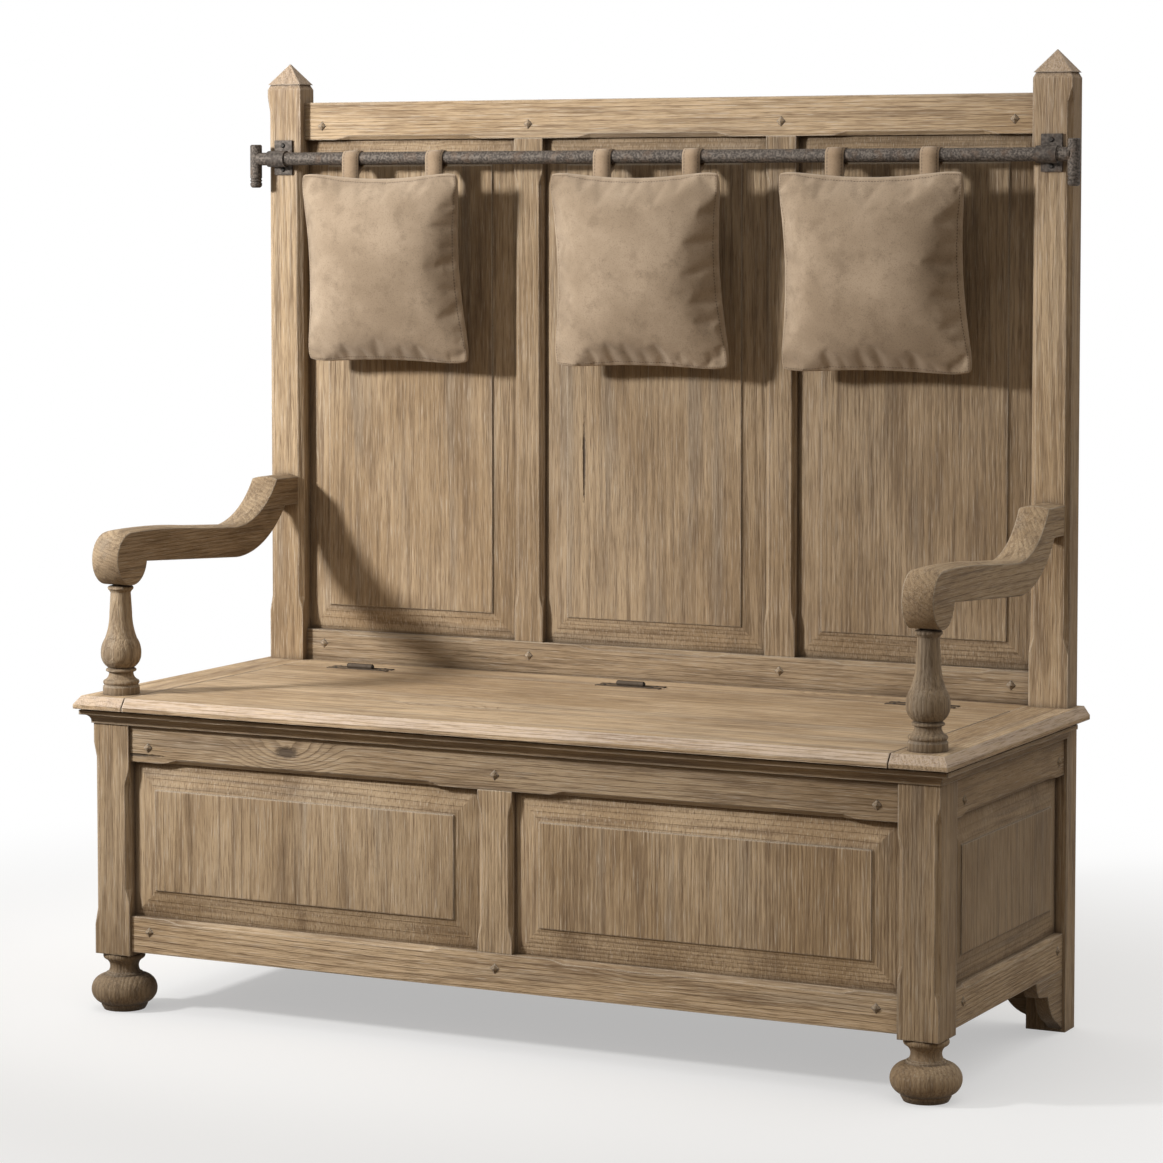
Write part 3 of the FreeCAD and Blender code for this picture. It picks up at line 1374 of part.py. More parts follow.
def hung(middle_x):
    """The placement of a cushion that hangs and leans at middle_x."""
    centre = Vector(mm(middle_x), mm(rod_y - d.cushion_forward),
                    mm(rod_z - d.cushion_drop))
    return Placement(centre, Rotation(Vector(1, 0, 0), mm(d.cushion_lean)))


def strap_foot(cushion):
    """The height where a strap that hangs straight down meets the back of its cushion. It
    is found at the strap's edge nearest the middle, where the cushion is thickest."""
    x = mm(d.strap_shift - d.strap_spread + d.strap_width / 2)
    face = mm(rod_y - d.rod_radius - d.strap_gap - d.strap_thick - d.strap_gap)
    low = cushion.BoundBox.Center.z
    high = cushion.BoundBox.ZMax
    for step in range(14):
        middle = (low + high) / 2
        line = Part.makeLine(Vector(x, face - 200, middle), Vector(x, face + 200, middle))
        inside = cushion.common(line)
        if inside.Edges and inside.BoundBox.YMax > face:
            low = middle
        else:
            high = middle
    return high


def strap_shape(middle_x, foot):
    """A strap that loops over the rod and runs down to the back of its cushion."""
    y = mm(rod_y)
    z = mm(rod_z)
    thick = mm(d.strap_thick)
    inner = mm(d.rod_radius + d.strap_gap)
    outer = inner + thick
    drop = mm(d.strap_join)
    left = mm(middle_x - d.strap_width / 2)
    # The rear run leaves the rod where its line is square to the radius at this angle.
    leave = 2 * math.atan2(drop, inner) - math.pi

    def point(across, height):
        return Vector(left, y + across, z + height)

    def round_rod(radius):
        """The two arcs over the rod, and where they start and end."""
        start = point(-radius, 0)
        end = point(radius * math.cos(leave), radius * math.sin(leave))
        top = point(0, radius)
        shoulder = radius * math.sqrt(0.5)
        lower = leave / 2 + math.pi / 4
        middle = point(radius * math.cos(lower), radius * math.sin(lower))
        first = Part.Arc(start, point(-shoulder, shoulder), top).toShape()
        second = Part.Arc(top, middle, end).toShape()
        return start, [first, second], end

    start, arcs, end = round_rod(inner)
    join = point(-inner, -drop)
    loop = Part.Wire([Part.makeLine(join, start)] + arcs + [Part.makeLine(end, join)])
    start, arcs, end = round_rod(outer)
    run = join - point(inner * math.cos(leave), inner * math.sin(leave))
    heel = end + run * ((end.y - (join.y + thick)) / -run.y)
    sole = foot - z
    outline = Part.Wire(
        [Part.makeLine(point(-outer, sole), start)] + arcs
        + [Part.makeLine(end, heel),
           Part.makeLine(heel, point(-inner + thick, sole)),
           Part.makeLine(point(-inner + thick, sole), point(-outer, sole))])
    face = Part.Face(outline).cut(Part.Face(loop))
    return face.extrude(Vector(mm(d.strap_width), 0, 0)).Solids[0]


cushion = cushion_shape()
foot = strap_foot(cushion.transformed(hung(0).toMatrix()))
for word, middle in (("left", -bay_pitch + d.left_drift), ("centre", d.centre_drift),
                     ("right", bay_pitch + d.right_drift)):
    feature_of("cushion_" + word, cushion, hung(middle))
    pair = [strap_shape(middle + d.strap_shift + way * d.strap_spread, foot)
            for way in (-1, 1)]
    feature_of("straps_" + word, Part.makeCompound(pair))


# Checks and export

doc.recompute()
for thing in doc.Objects:
    if "Invalid" in thing.State or "Error" in thing.State:
        raise RuntimeError("%s: %s" % (thing.Name, thing.State))

sub_parts = [thing for thing in doc.Objects if thing.TypeId == "PartDesign::Body"
             or thing.TypeId == "Part::Feature"]
os.makedirs("parts", exist_ok=True)
for thing in sub_parts:
    shape = thing.Shape
    if shape.isNull() or not shape.isValid() or not shape.Solids:
        raise RuntimeError("bad shape: " + thing.Label)
for thing in sub_parts:
    thing.Shape.exportStep(os.path.join("parts", thing.Label + ".step"))
    box = thing.Shape.BoundBox
    print("%-26s %2d solid(s)  %9.1f cm3  X %7.1f %7.1f  Y %7.1f %7.1f  Z %7.1f %7.1f" % (
        thing.Label, len(thing.Shape.Solids), thing.Shape.Volume / 1000,
        box.XMin, box.XMax, box.YMin, box.YMax, box.ZMin, box.ZMax))
print("%d sub-parts" % len(sub_parts))
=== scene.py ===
import math

import bpy
import numpy as np
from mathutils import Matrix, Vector


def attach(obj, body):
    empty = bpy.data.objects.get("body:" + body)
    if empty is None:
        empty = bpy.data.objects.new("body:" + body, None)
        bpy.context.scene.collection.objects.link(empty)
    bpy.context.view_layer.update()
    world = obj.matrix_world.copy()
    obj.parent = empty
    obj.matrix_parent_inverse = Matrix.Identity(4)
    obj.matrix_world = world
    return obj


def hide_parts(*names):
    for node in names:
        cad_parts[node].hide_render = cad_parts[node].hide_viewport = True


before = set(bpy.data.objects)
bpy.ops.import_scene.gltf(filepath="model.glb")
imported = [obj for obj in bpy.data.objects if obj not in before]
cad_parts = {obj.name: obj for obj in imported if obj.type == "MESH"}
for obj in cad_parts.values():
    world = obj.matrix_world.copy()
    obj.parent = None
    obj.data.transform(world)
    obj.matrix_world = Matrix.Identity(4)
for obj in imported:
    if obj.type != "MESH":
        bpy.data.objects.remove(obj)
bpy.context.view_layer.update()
scene = bpy.context.scene


# The room
# A pale floor that fades to white, seen from the front right at the height of the rod, with the
# camera solved from the straight edges of the posts, rails and lid. One warm lamp with a soft
# edge stands on the left, and a pale ceiling over a dim, brown room fills the shadows.

camera_data = bpy.data.cameras.new("camera")
camera_data.lens = 115.2
camera_data.sensor_width = 36.0
camera_data.shift_y = -0.12
camera = bpy.data.objects.new("camera", camera_data)
camera.location = (2.6929, -5.3281, 1.3230)
camera.rotation_euler = (math.radians(90 - 3.670), 0, math.radians(26.727))
scene.collection.objects.link(camera)
scene.camera = camera
scene.view_settings.view_transform = "Standard"

LAMP_PLACE = Vector((-2.5, -2.1, 2.05))
LAMP_AIM = Vector((-0.45, 0.28, 1.2))
LAMP_RADIUS = 0.22
LAMP_CONE = math.radians(64)
LAMP_WATTS = 660
LAMP_COLOUR = (1.0, 0.965, 0.915)
lamp_data = bpy.data.lights.new("key", "SPOT")
lamp_data.shadow_soft_size = LAMP_RADIUS
lamp_data.spot_size = LAMP_CONE
lamp_data.spot_blend = 1.0
lamp_data.energy = LAMP_WATTS
lamp_data.color = LAMP_COLOUR
lamp = bpy.data.objects.new("key", lamp_data)
lamp.location = LAMP_PLACE
lamp.rotation_euler = (LAMP_PLACE - LAMP_AIM).to_track_quat("Z", "Y").to_euler()
lamp.visible_camera = False
scene.collection.objects.link(lamp)


class Value:
    """A number that varies over a surface: + - * and / lay the Math nodes for it."""

    def __init__(self, finish, socket):
        self.finish = finish
        self.socket = socket

    def also(self, output):
        """Another output of the same node."""
        return Value(self.finish, self.socket.node.outputs[output])

    def __add__(self, other):
        return self.finish.maths("ADD", self, other)

    def __sub__(self, other):
        return self.finish.maths("SUBTRACT", self, other)

    def __rsub__(self, other):
        return self.finish.maths("SUBTRACT", other, self)

    def __mul__(self, other):
        return self.finish.maths("MULTIPLY", self, other)

    def __truediv__(self, other):
        return self.finish.maths("DIVIDE", self, other)

    __radd__ = __add__
    __rmul__ = __mul__


class Finish:
    """The nodes of one material, or of the room's light, and the one way of adding to them."""

    def __init__(self, owner, **constants):
        self.owner = bpy.data.materials.new(owner) if isinstance(owner, str) else owner
        self.owner.use_nodes = True
        self.tree = self.owner.node_tree
        self.shader = self.tree.nodes.get("Principled BSDF")
        for socket, value in constants.items():
            self.feed(self.shader.inputs[socket.replace("_", " ").title()], value)

    def feed(self, socket, value):
        """Links a value to a socket, or sets a plain number, colour or vector on it."""
        if isinstance(value, Value):
            self.tree.links.new(value.socket, socket)
        elif isinstance(value, tuple) and len(value) == 3 and socket.type == "RGBA":
            socket.default_value = (*value, 1.0)
        else:
            socket.default_value = value

    def add(self, kind, sockets, output=0, **settings):
        """Adds a node: its settings first, then its sockets by name or number."""
        node = self.tree.nodes.new("ShaderNode" + kind)
        for name, value in settings.items():
            setattr(node, name, value)
        for name, value in sockets.items():
            self.feed(node.inputs[name], value)
        return Value(self, node.outputs[output])

    def maths(self, operation, first, second=0.0):
        return self.add("Math", {0: first, 1: second}, operation=operation)

    def between(self, value, low, high):
        """0 below low, 1 above high, smooth between them."""
        sockets = {"Value": value, "From Min": low, "From Max": high}
        return self.add("MapRange", sockets, interpolation_type="SMOOTHSTEP")

    def noise(self, place, scale, detail=2.0, roughness=0.5):
        sockets = {"Vector": place, "Scale": scale, "Detail": detail, "Roughness": roughness}
        return self.add("TexNoise", sockets)

    def cells(self, place, scale):
        """Distance to the nearest of many scattered spots, and a chance colour for each spot."""
        return self.add("TexVoronoi", {"Vector": place, "Scale": scale})

    def mix(self, share, first, second, blend="MIX"):
        """A colour from first to second by the share."""
        sockets = {0: share, 6: first, 7: second}
        return self.add("Mix", sockets, output=2, data_type="RGBA", blend_type=blend)

    def parts(self, vector):
        """The three numbers of a vector."""
        split = self.add("SeparateXYZ", {0: vector})
        return split, split.also(1), split.also(2)

    def paint(self, colour, roughness, height, depth, smooth=None):
        """Links the colour and roughness, and a bump of the given depth in metres."""
        sockets = {"Height": height, "Distance": depth}
        if smooth:
            sockets["Normal"] = smooth
        self.feed(self.shader.inputs["Base Color"], colour)
        self.feed(self.shader.inputs["Roughness"], roughness)
        self.feed(self.shader.inputs["Normal"], self.add("Bump", sockets))
        return self.owner


FLOOR_REACH = 30.0
FLOOR_FADE = (0.9, 2.3)
FLOOR_SEEN = (0.90, 0.93, 0.97)
FLOOR_GLOW = 0.45
FLOOR_BOUNCE = (0.18, 0.12, 0.06)
WHITE = (1.0, 1.0, 1.0)
boards = Finish("pale floor")
seen = boards.add("LightPath", {})
seen = boards.maths("MAXIMUM", seen, seen.also("Is Glossy Ray"))
across, deep, _ = boards.parts(boards.add("TexCoord", {}, output=3))
away = boards.maths("SQRT", across * across + deep * deep)
glow = boards.add("Emission", {"Color": WHITE, "Strength": 1.0})
matt = boards.add("BsdfDiffuse", {"Color": FLOOR_SEEN})
lit = boards.add("MixShader", {0: FLOOR_GLOW, 1: matt, 2: glow})
bounce = boards.add("BsdfDiffuse", {"Color": FLOOR_BOUNCE})
pale = boards.add("MixShader", {0: boards.between(away, *FLOOR_FADE), 1: lit, 2: glow})
both = boards.add("MixShader", {0: seen, 1: bounce, 2: pale})
boards.feed(boards.tree.nodes["Material Output"].inputs["Surface"], both)
floor_mesh = bpy.data.meshes.new("floor")
square = ((-1, -1), (1, -1), (1, 1), (-1, 1))
floor_corners = [(x * FLOOR_REACH, y * FLOOR_REACH, 0.0) for x, y in square]
floor_mesh.from_pydata(floor_corners, [], [(0, 1, 2, 3)])
floor_mesh.materials.append(boards.owner)
floor = bpy.data.objects.new("floor", floor_mesh)
scene.collection.objects.link(floor)

ROOM_LOW = (0.150, 0.098, 0.046)
ROOM_HIGH = (0.98, 0.94, 0.88)
scene.world = bpy.data.worlds.new("white room")
room = Finish(scene.world)
seen = room.add("LightPath", {})
seen = room.maths("MAXIMUM", seen, seen.also("Is Glossy Ray"))
_, _, upward = room.parts(room.add("TexCoord", {}, output=0))
ceiling = room.between(upward, 0.05, 0.95)
tint = room.mix(ceiling, ROOM_LOW, ROOM_HIGH)
dim = room.add("Background", {"Color": tint, "Strength": 1.0})
white = room.add("Background", {"Color": WHITE, "Strength": 1.0})
both = room.add("MixShader", {0: seen, 1: dim, 2: white})
room.feed(room.tree.nodes["World Output"].inputs[0], both)


# The oak
# Old wide boards, dry and grey-brown, with lime in the pores and pale worn edges, and with dust
# and painted shade darkening the corners and recesses. Every piece comes from its own part of the
# log, and the grain runs along the piece.

OAK_PALE = (0.520, 0.390, 0.250)
OAK_MID = (0.380, 0.268, 0.155)
OAK_DARK = (0.150, 0.092, 0.046)
OAK_CRACK = (0.050, 0.030, 0.016)
# Dust and painted shade: the dark colour that ambient occlusion lays in corners, recesses and gaps.
OAK_DUST_AND_SHADE = (0.085, 0.052, 0.026)
OAK_LIME = (0.600, 0.520, 0.425)
OAK_PINK = (0.560, 0.465, 0.395)
OAK_GREY = (0.285, 0.240, 0.190)
GRAIN_SQUEEZE = 0.055
FIBRE_SQUEEZE = 0.040
RINGS_PER_METRE = 150.0
KNOTS_PER_METRE = 4.2
SPLITS_PER_METRE = 15.0
WORN_EDGE = 0.0038
DUST_AND_SHADE_REACH = 0.022
GRAIN_DEPTH = 0.0017


def squeeze(finish, place, **scales):
    """Object coordinates with some axes scaled, so that a round spot becomes a streak."""
    scale = tuple(scales.get(axis, 1.0) for axis in "XYZ")
    return finish.add("Mapping", {"Vector": place, "Scale": scale})


def oak(name, along, face, seed, tone=1.0, mitred=None, heart=0.05, limed=None):
    """One piece of oak, with its grain along one axis and its broad face square to another.

    The growth rings are shells round a heart line that runs along the grain: the ring number is
    the distance from it times the rings per metre. Slow noise bends the rings, and each knot
    adds a soft hill to the number, so that the grain flows round the knot. Where the piece is
    mitred, faces that tip up or down take the grain across. tone darkens or lightens the whole
    piece, and limed gives the share of pale lime that the weather has left on it.
    """
    wood = Finish("oak " + name)
    here = wood.add("TexCoord", {}, output=3)
    shift = tuple(0.37 * seed * k % 1.9 for k in (1.0, 1.7, 2.3))
    place = wood.add("Mapping", {"Vector": here, "Location": shift})
    grain = squeeze(wood, place, **{along: GRAIN_SQUEEZE})
    normal = wood.add("NewGeometry", {}, output=1)
    if mitred:
        _, _, upward = wood.parts(normal)
        tipped = wood.maths("GREATER_THAN", wood.maths("ABSOLUTE", upward), 0.06)
        turned = squeeze(wood, place, **{mitred: GRAIN_SQUEEZE})
        grain = wood.add("Mix", {0: tipped, 4: grain, 5: turned}, output=1, data_type="VECTOR")

    slow = wood.noise(grain, 5.0, 2.0)
    drift = wood.noise(grain, 22.0, 3.0, 0.6)
    streak = wood.noise(grain, 95.0, 4.0, 0.65)
    fibre = wood.noise(squeeze(wood, place, **{along: FIBRE_SQUEEZE}), 620.0, 2.0, 0.6)
    patch = wood.noise(squeeze(wood, place, **{along: 0.4}), 7.0, 4.0, 0.6)
    stain = wood.noise(squeeze(wood, place, **{along: 0.22}), 13.0, 4.0, 0.7)
    ragged = wood.noise(place, 140.0, 4.0, 0.7)

    spots = squeeze(wood, place, **{along: 0.45, face: 0.1})
    knot = wood.cells(spots, KNOTS_PER_METRE)
    chosen, _, _ = wood.parts(knot.also(1))
    chosen = wood.maths("GREATER_THAN", chosen, 0.48)
    hill = chosen * (1.0 - wood.between(knot, 0.0, 0.24))
    core = chosen * (1.0 - wood.between(knot + (ragged - 0.5) * 0.03, 0.022, 0.052))

    off_heart = {0: grain, 1: (heart, 0.6 * heart, 0.4 * heart)}
    off_heart = wood.add("VectorMath", off_heart, operation="ADD")
    radius = wood.add("VectorMath", {0: off_heart}, output=1, operation="LENGTH")
    ring = radius * RINGS_PER_METRE + slow * 13.0 + drift * 1.8 + hill * 5.0
    ring = wood.maths("FRACT", ring)
    late = wood.between(ring, 0.30, 0.90) * (1.0 - wood.between(ring, 0.93, 1.0))

    slits = squeeze(wood, place, **{along: FIBRE_SQUEEZE, face: 0.1})
    check = wood.cells(slits, SPLITS_PER_METRE)
    split, _, _ = wood.parts(check.also(1))
    split = wood.maths("GREATER_THAN", split, 0.35)
    split = split * (1.0 - wood.between(check + (ragged - 0.5) * 0.04, 0.020, 0.050))

    tint = wood.mix(wood.between(patch, 0.36, 0.60), OAK_MID, OAK_PALE)
    tint = wood.mix(wood.between(stain, 0.54, 0.70) * 0.50, tint, OAK_DARK)
    tint = wood.mix(wood.between(drift, 0.54, 0.70) * 0.50, tint, OAK_GREY)
    tint = wood.mix(wood.between(streak, 0.46, 0.68) * 0.62, tint, OAK_DARK)
    tint = wood.mix(late * (0.22 + 0.40 * hill), tint, OAK_DARK)
    tint = wood.mix(wood.between(fibre, 0.52, 0.70) * 0.62, tint, OAK_DARK)
    tint = wood.mix((1.0 - wood.between(fibre, 0.30, 0.45)) * 0.50, tint, OAK_LIME)
    tint = wood.mix(core * 0.85, tint, OAK_CRACK)
    tint = wood.mix(split * 0.92, tint, OAK_CRACK)

    rounded = wood.add("Bevel", {"Radius": WORN_EDGE}, samples=4)
    turn = wood.add("VectorMath", {0: rounded, 1: normal}, output=1, operation="DOT_PRODUCT")
    # Painted shade with dust: ambient occlusion darkens every corner, recess and gap within reach,
    # where shade falls, and the worn rims are kept out of these places.
    open_air = wood.add("AmbientOcclusion", {"Distance": DUST_AND_SHADE_REACH}, output=1, samples=4)
    dust_and_shade = 1.0 - wood.between(open_air, 0.25, 0.90)
    rim = wood.between((1.0 - turn) * (0.1 + 1.8 * ragged), 0.02, 0.12) * (1.0 - dust_and_shade)
    tint = wood.mix(rim * 0.90, tint, OAK_LIME)
    tint = wood.mix(dust_and_shade * 0.85, tint, OAK_DUST_AND_SHADE)
    if limed:
        worn = (0.25 + 0.8 * ragged) * (1.0 - 0.6 * wood.between(fibre, 0.44, 0.58))
        tint = wood.mix(limed(wood, here, normal) * worn, tint, OAK_PINK)
    if tone != 1.0:
        tint = wood.mix(1.0, tint, (tone, tone, tone), blend="MULTIPLY")

    rough = 0.84 - 0.12 * streak
    height = 0.5 * streak - 0.35 * late + 0.45 * ragged - 0.8 * fibre - 1.8 * split - core
    return wood.paint(tint, rough, height, GRAIN_DEPTH, smooth=rounded)


def dress(material, *nodes):
    """Gives CAD nodes their material, slot by slot."""
    for node in nodes:
        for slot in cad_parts[node].material_slots:
            slot.material = material


# The chest
# Stiles, a muntin and rails of oak, pegged at the joints, with fielded panels between them. The
# grain is upright in the stiles, the muntin and the panels, and level in the rails.

for seed, (node, along, face, tone) in enumerate(
    (
        ("front_stile_left", "Z", "Y", 0.83),
        ("front_stile_right", "Z", "Y", 0.84),
        ("front_muntin", "Z", "Y", 1.0),
        ("front_top_rail", "X", "Y", 0.80),
        ("front_bottom_rail", "X", "Y", 1.08),
        ("side_top_rail_left", "Y", "X", 0.85),
        ("side_top_rail_right", "Y", "X", 0.85),
        ("side_bottom_rail_left", "Y", "X", 0.9),
        ("side_bottom_rail_right", "Y", "X", 0.9),
        ("cove_front", "X", "Y", 0.85),
        ("cove_sides", "Y", "X", 0.85),
        ("chest_back_rail", "X", "Y", 0.9),
        ("chest_back_board", "X", "Y", 0.9),
        ("chest_floor", "X", "Z", 0.9),
        ("side_brackets", "Y", "X", 0.75),
        ("back_brackets", "X", "Y", 0.75),
    ),
    start=3,
):
    dress(oak(node, along, face, seed, tone), node)
for seed, (node, face, mitred, tone) in enumerate(
    (
        ("front_panel_left", "Y", "X", 0.92),
        ("front_panel_right", "Y", "X", 1.02),
        ("side_panel_left", "X", "Y", 0.78),
        ("side_panel_right", "X", "Y", 0.78),
    ),
    start=21,
):
    dress(oak(node, "Z", face, seed, tone, mitred=mitred), node)


# The seat
# A lid of one wide board between two end boards, with a narrow strip at the back that carries
# the hinges. Their sloping edges have kept the lime and are pale and pinkish.


def seat_edge(wood, here, normal):
    """The sloping edges are the faces that tip outwards as well as upwards."""
    _, _, upward = wood.parts(normal)
    return wood.between(upward, 0.15, 0.35) * (1.0 - wood.between(upward, 0.80, 0.92))


for seed, (node, along, tone) in enumerate(
    (
        ("lid", "X", 1.08),
        ("seat_back_strip", "X", 1.12),
        ("seat_end_board_left", "Y", 1.10),
        ("seat_end_board_right", "Y", 1.05),
        ("lid_battens", "Y", 0.9),
        ("hinge_rail", "X", 0.9),
    ),
    start=31,
):
    dress(oak(node, along, "Z", seed, tone, limed=seat_edge), node)


# The back
# Two tall posts with pyramid tops, a top rail, a lower rail and two muntins hold three fielded
# panels. The posts' tops have kept the most lime.


def post_top(wood, here, normal):
    """Pale from the middle of the post upwards, and palest on the pyramid."""
    _, _, level = wood.parts(here)
    return 0.25 * wood.between(level, 1.15, 1.50) + 0.55 * wood.between(level, 1.515, 1.535)


for seed, (node, along, tone, limed) in enumerate(
    (
        ("rear_post_left", "Z", 0.92, post_top),
        ("rear_post_right", "Z", 0.90, post_top),
        ("back_top_rail", "X", 1.0, None),
        ("back_lower_rail", "X", 0.68, None),
        ("back_muntin_left", "Z", 0.74, None),
        ("back_muntin_right", "Z", 0.70, None),
    ),
    start=41,
):
    dress(oak(node, along, "Y", seed, tone, limed=limed), node)
for seed, (node, tone) in enumerate(
    (("back_panel_left", 0.84), ("back_panel_centre", 0.72), ("back_panel_right", 0.66)),
    start=51,
):
    dress(oak(node, "Z", "Y", seed, tone, mitred="X"), node)


# The turned and shaped pieces
# Feet and balusters are turned from the solid, with the heart close by. The arms are sawn to
# shape, with a crowned top. Square pegs stand proud of the joints.

for seed, (node, along, face, tone, heart) in enumerate(
    (
        ("bun_foot_left", "Z", "Y", 0.60, 0.012),
        ("bun_foot_right", "Z", "Y", 0.80, 0.012),
        ("baluster_left", "Z", "Y", 0.72, 0.012),
        ("baluster_right", "Z", "Y", 0.60, 0.012),
        ("arm_left", "Y", "X", 0.72, 0.05),
        ("arm_right", "Y", "X", 0.85, 0.05),
    ),
    start=61,
):
    dress(oak(node, along, face, seed, tone, heart=heart), node)
dress(oak("pegs", "Y", "X", 71, 0.75), "pegs")


# The iron
# A hammered rod with cross bars at its ends, in strap brackets with black screws, and three
# hinges let into the seat, whose leaves have taken on the colour of the wood.

RUST = (0.14, 0.085, 0.050)


def iron(name, bright, hollow, dent, size, metal):
    """Forged iron: dents are smooth noise a few millimetres wide, darker in the hollows."""
    metalwork = Finish("iron " + name, metallic=metal)
    place = metalwork.add("TexCoord", {}, output=3)
    dents = metalwork.noise(place, size, 2.0, 0.5)
    grit = metalwork.noise(place, 1100.0, 2.0, 0.6)
    patch = metalwork.noise(place, 45.0, 3.0, 0.6)
    tint = metalwork.mix(metalwork.between(dents, 0.36, 0.66), hollow, bright)
    tint = metalwork.mix(metalwork.between(patch, 0.50, 0.72) * 0.4, tint, RUST)
    return metalwork.paint(tint, 0.55 + 0.25 * grit, dents + 0.15 * grit, dent)


ROD_IRON = iron("rod", (0.150, 0.128, 0.110), (0.045, 0.036, 0.030), 0.0012, 300.0, 0.35)
BRACKET_IRON = iron("bracket", (0.110, 0.094, 0.082), (0.045, 0.036, 0.030), 0.0006, 200.0, 0.4)
BLACK_IRON = iron("black", (0.050, 0.044, 0.040), (0.020, 0.018, 0.016), 0.0003, 300.0, 0.4)
dress(ROD_IRON, "rod", "rod_end_bar_left", "rod_end_bar_right")
dress(BRACKET_IRON, "rod_bracket_left", "rod_bracket_right")
dress(BLACK_IRON, "bracket_screws", "hinge_screws_lid", "hinge_screws_strip", "hinge_pins")

HINGE_PITCH = 0.5195
LEAF_REACH = 0.059
LEAF_LEVEL = 0.5222
LEAF_PALE = (0.30, 0.215, 0.130)
LEAF_DARK = (0.17, 0.115, 0.065)
LEAF_BLACK = (0.045, 0.034, 0.026)


def hinge_leaf():
    """Dusty iron, black at the leaf's ends and on the knuckles, which stand above the seat.

    The distance from a leaf's middle is the distance along the bench to the nearest hinge.
    """
    leaf = Finish("iron hinge", metallic=0.25)
    place = leaf.add("TexCoord", {}, output=3)
    along, _, level = leaf.parts(place)
    off = leaf.add("Math", {0: along, 1: HINGE_PITCH / 2, 2: -HINGE_PITCH / 2}, operation="WRAP")
    end = leaf.between(leaf.maths("ABSOLUTE", off), LEAF_REACH - 0.003, LEAF_REACH - 0.001)
    proud = leaf.between(level, LEAF_LEVEL - 0.0008, LEAF_LEVEL)
    dents = leaf.noise(place, 160.0, 3.0, 0.6)
    streak = leaf.noise(squeeze(leaf, place, X=0.1), 500.0, 3.0, 0.6)
    tint = leaf.mix(leaf.between(streak, 0.38, 0.62), LEAF_PALE, LEAF_DARK)
    tint = leaf.mix(leaf.maths("MAXIMUM", end, proud) * 0.85, tint, LEAF_BLACK)
    return leaf.paint(tint, 0.6 + 0.3 * dents, dents, 0.0005)


dress(hinge_leaf(), "hinge_leaves_lid", "hinge_leaves_strip")


# The cushions
# Three square pillows of taupe suede with plump ears, sewn front to back with a saddle stitch
# inside the rim. A cloth simulation fills each cover, which is cut a little too large for it.

CUSHION_CENTRES = {"left": -0.4775, "centre": 0.006, "right": 0.4250}
CUSHION_WIDE = {"left": 0.324, "centre": 0.328, "right": 0.338}
CUSHION_MIDDLE = (0.215, 1.2130)
CUSHION_TALL = 0.337
CUSHION_FRONT = 0.050
CUSHION_BACK = 0.034
CUSHION_LEAN = math.radians(5.5)
CUT_SIDE = 0.36
DRAWN_TOP = 0.016
DRAWN_SIDE = 0.015
DRAWN_BOTTOM = 0.009
EAR = 0.010
RIM = 0.0015
TAPER = 0.018
SWELL_POWER = 0.62
SWELL_MOST = 0.006
CLOTH_SPARE = {"left": 0.010, "centre": 0.015, "right": 0.013}
FILLING = 3.0
MOMENTS = 22
SEAM_INSET = 0.0055
STITCH_PITCH = 0.0055
STITCH_SHARE = 0.58
THREAD = (0.0005, 0.0009)
THREAD_COLOUR = (0.13, 0.085, 0.05)
EDGE_COLOUR = (0.50, 0.40, 0.30)


def cover(side, rows=72):
    """A pillow before it is filled: two square faces that meet at the rim.

    On each face u and v run from -1 to 1. Half the thickness is the rim plus a swell,
    H (1 - u^2)^a (1 - v^2)^a. The sides draw in by a share of 1 - v^2 and 1 - u^2, most at
    their middles, the top is a little narrower, and a high power of u v pulls the corners in,
    which rounds the ears. Each point also has its place on the flat cloth, a square.
    """
    bend = np.linspace(-1, 1, rows)
    bend = 0.6 * bend + 0.4 * np.sin(bend * math.pi / 2)
    u, v = np.meshgrid(bend, bend, indexing="ij")
    ear = EAR * np.abs(u * v) ** 7
    drawn = np.where(v > 0, DRAWN_TOP, DRAWN_BOTTOM) * (1 - u**2) * np.abs(v)
    x = u * (CUSHION_WIDE[side] / 2 * (1 - TAPER * v) - DRAWN_SIDE * (1 - v**2) - ear)
    z = v * (CUSHION_TALL / 2 - drawn - ear)
    swell = ((1 - u**2) * (1 - v**2)) ** SWELL_POWER
    front = np.stack((x, -RIM - CUSHION_FRONT * swell, z), -1).reshape(-1, 3)
    back = np.stack((x, RIM + CUSHION_BACK * swell, z), -1).reshape(-1, 3)
    index = np.arange(rows * rows).reshape(rows, rows)
    a, b, c, d = index[:-1, :-1], index[1:, :-1], index[1:, 1:], index[:-1, 1:]
    face_front = np.stack((a, b, c, d), -1).reshape(-1, 4)
    face_back = np.stack((a, d, c, b), -1).reshape(-1, 4) + rows * rows
    ring = np.concatenate((index[:-1, 0], index[-1, :-1], index[:0:-1, -1], index[0, :0:-1]))
    after = np.roll(ring, -1)
    band = np.stack((after, ring, ring + rows * rows, after + rows * rows), -1)
    flat = np.tile(np.stack((u, v), -1).reshape(-1, 2) * CUT_SIDE / 2, (2, 1))
    return np.concatenate((front, back)), np.concatenate((face_front, face_back, band)), flat


def add_mesh(name, points, faces, flat):
    """A smooth mesh object from arrays of points, faces and flat places on the cloth."""
    mesh = bpy.data.meshes.new(name)
    mesh.from_pydata(points.tolist(), [], faces.tolist())
    mesh.polygons.foreach_set("use_smooth", np.ones(len(mesh.polygons), bool))
    corners = np.empty(len(mesh.loops), int)
    mesh.loops.foreach_get("vertex_index", corners)
    layer = mesh.uv_layers.new(name="cloth")
    layer.data.foreach_set("uv", flat[corners].ravel())
    piece = bpy.data.objects.new(name, mesh)
    scene.collection.objects.link(piece)
    return piece


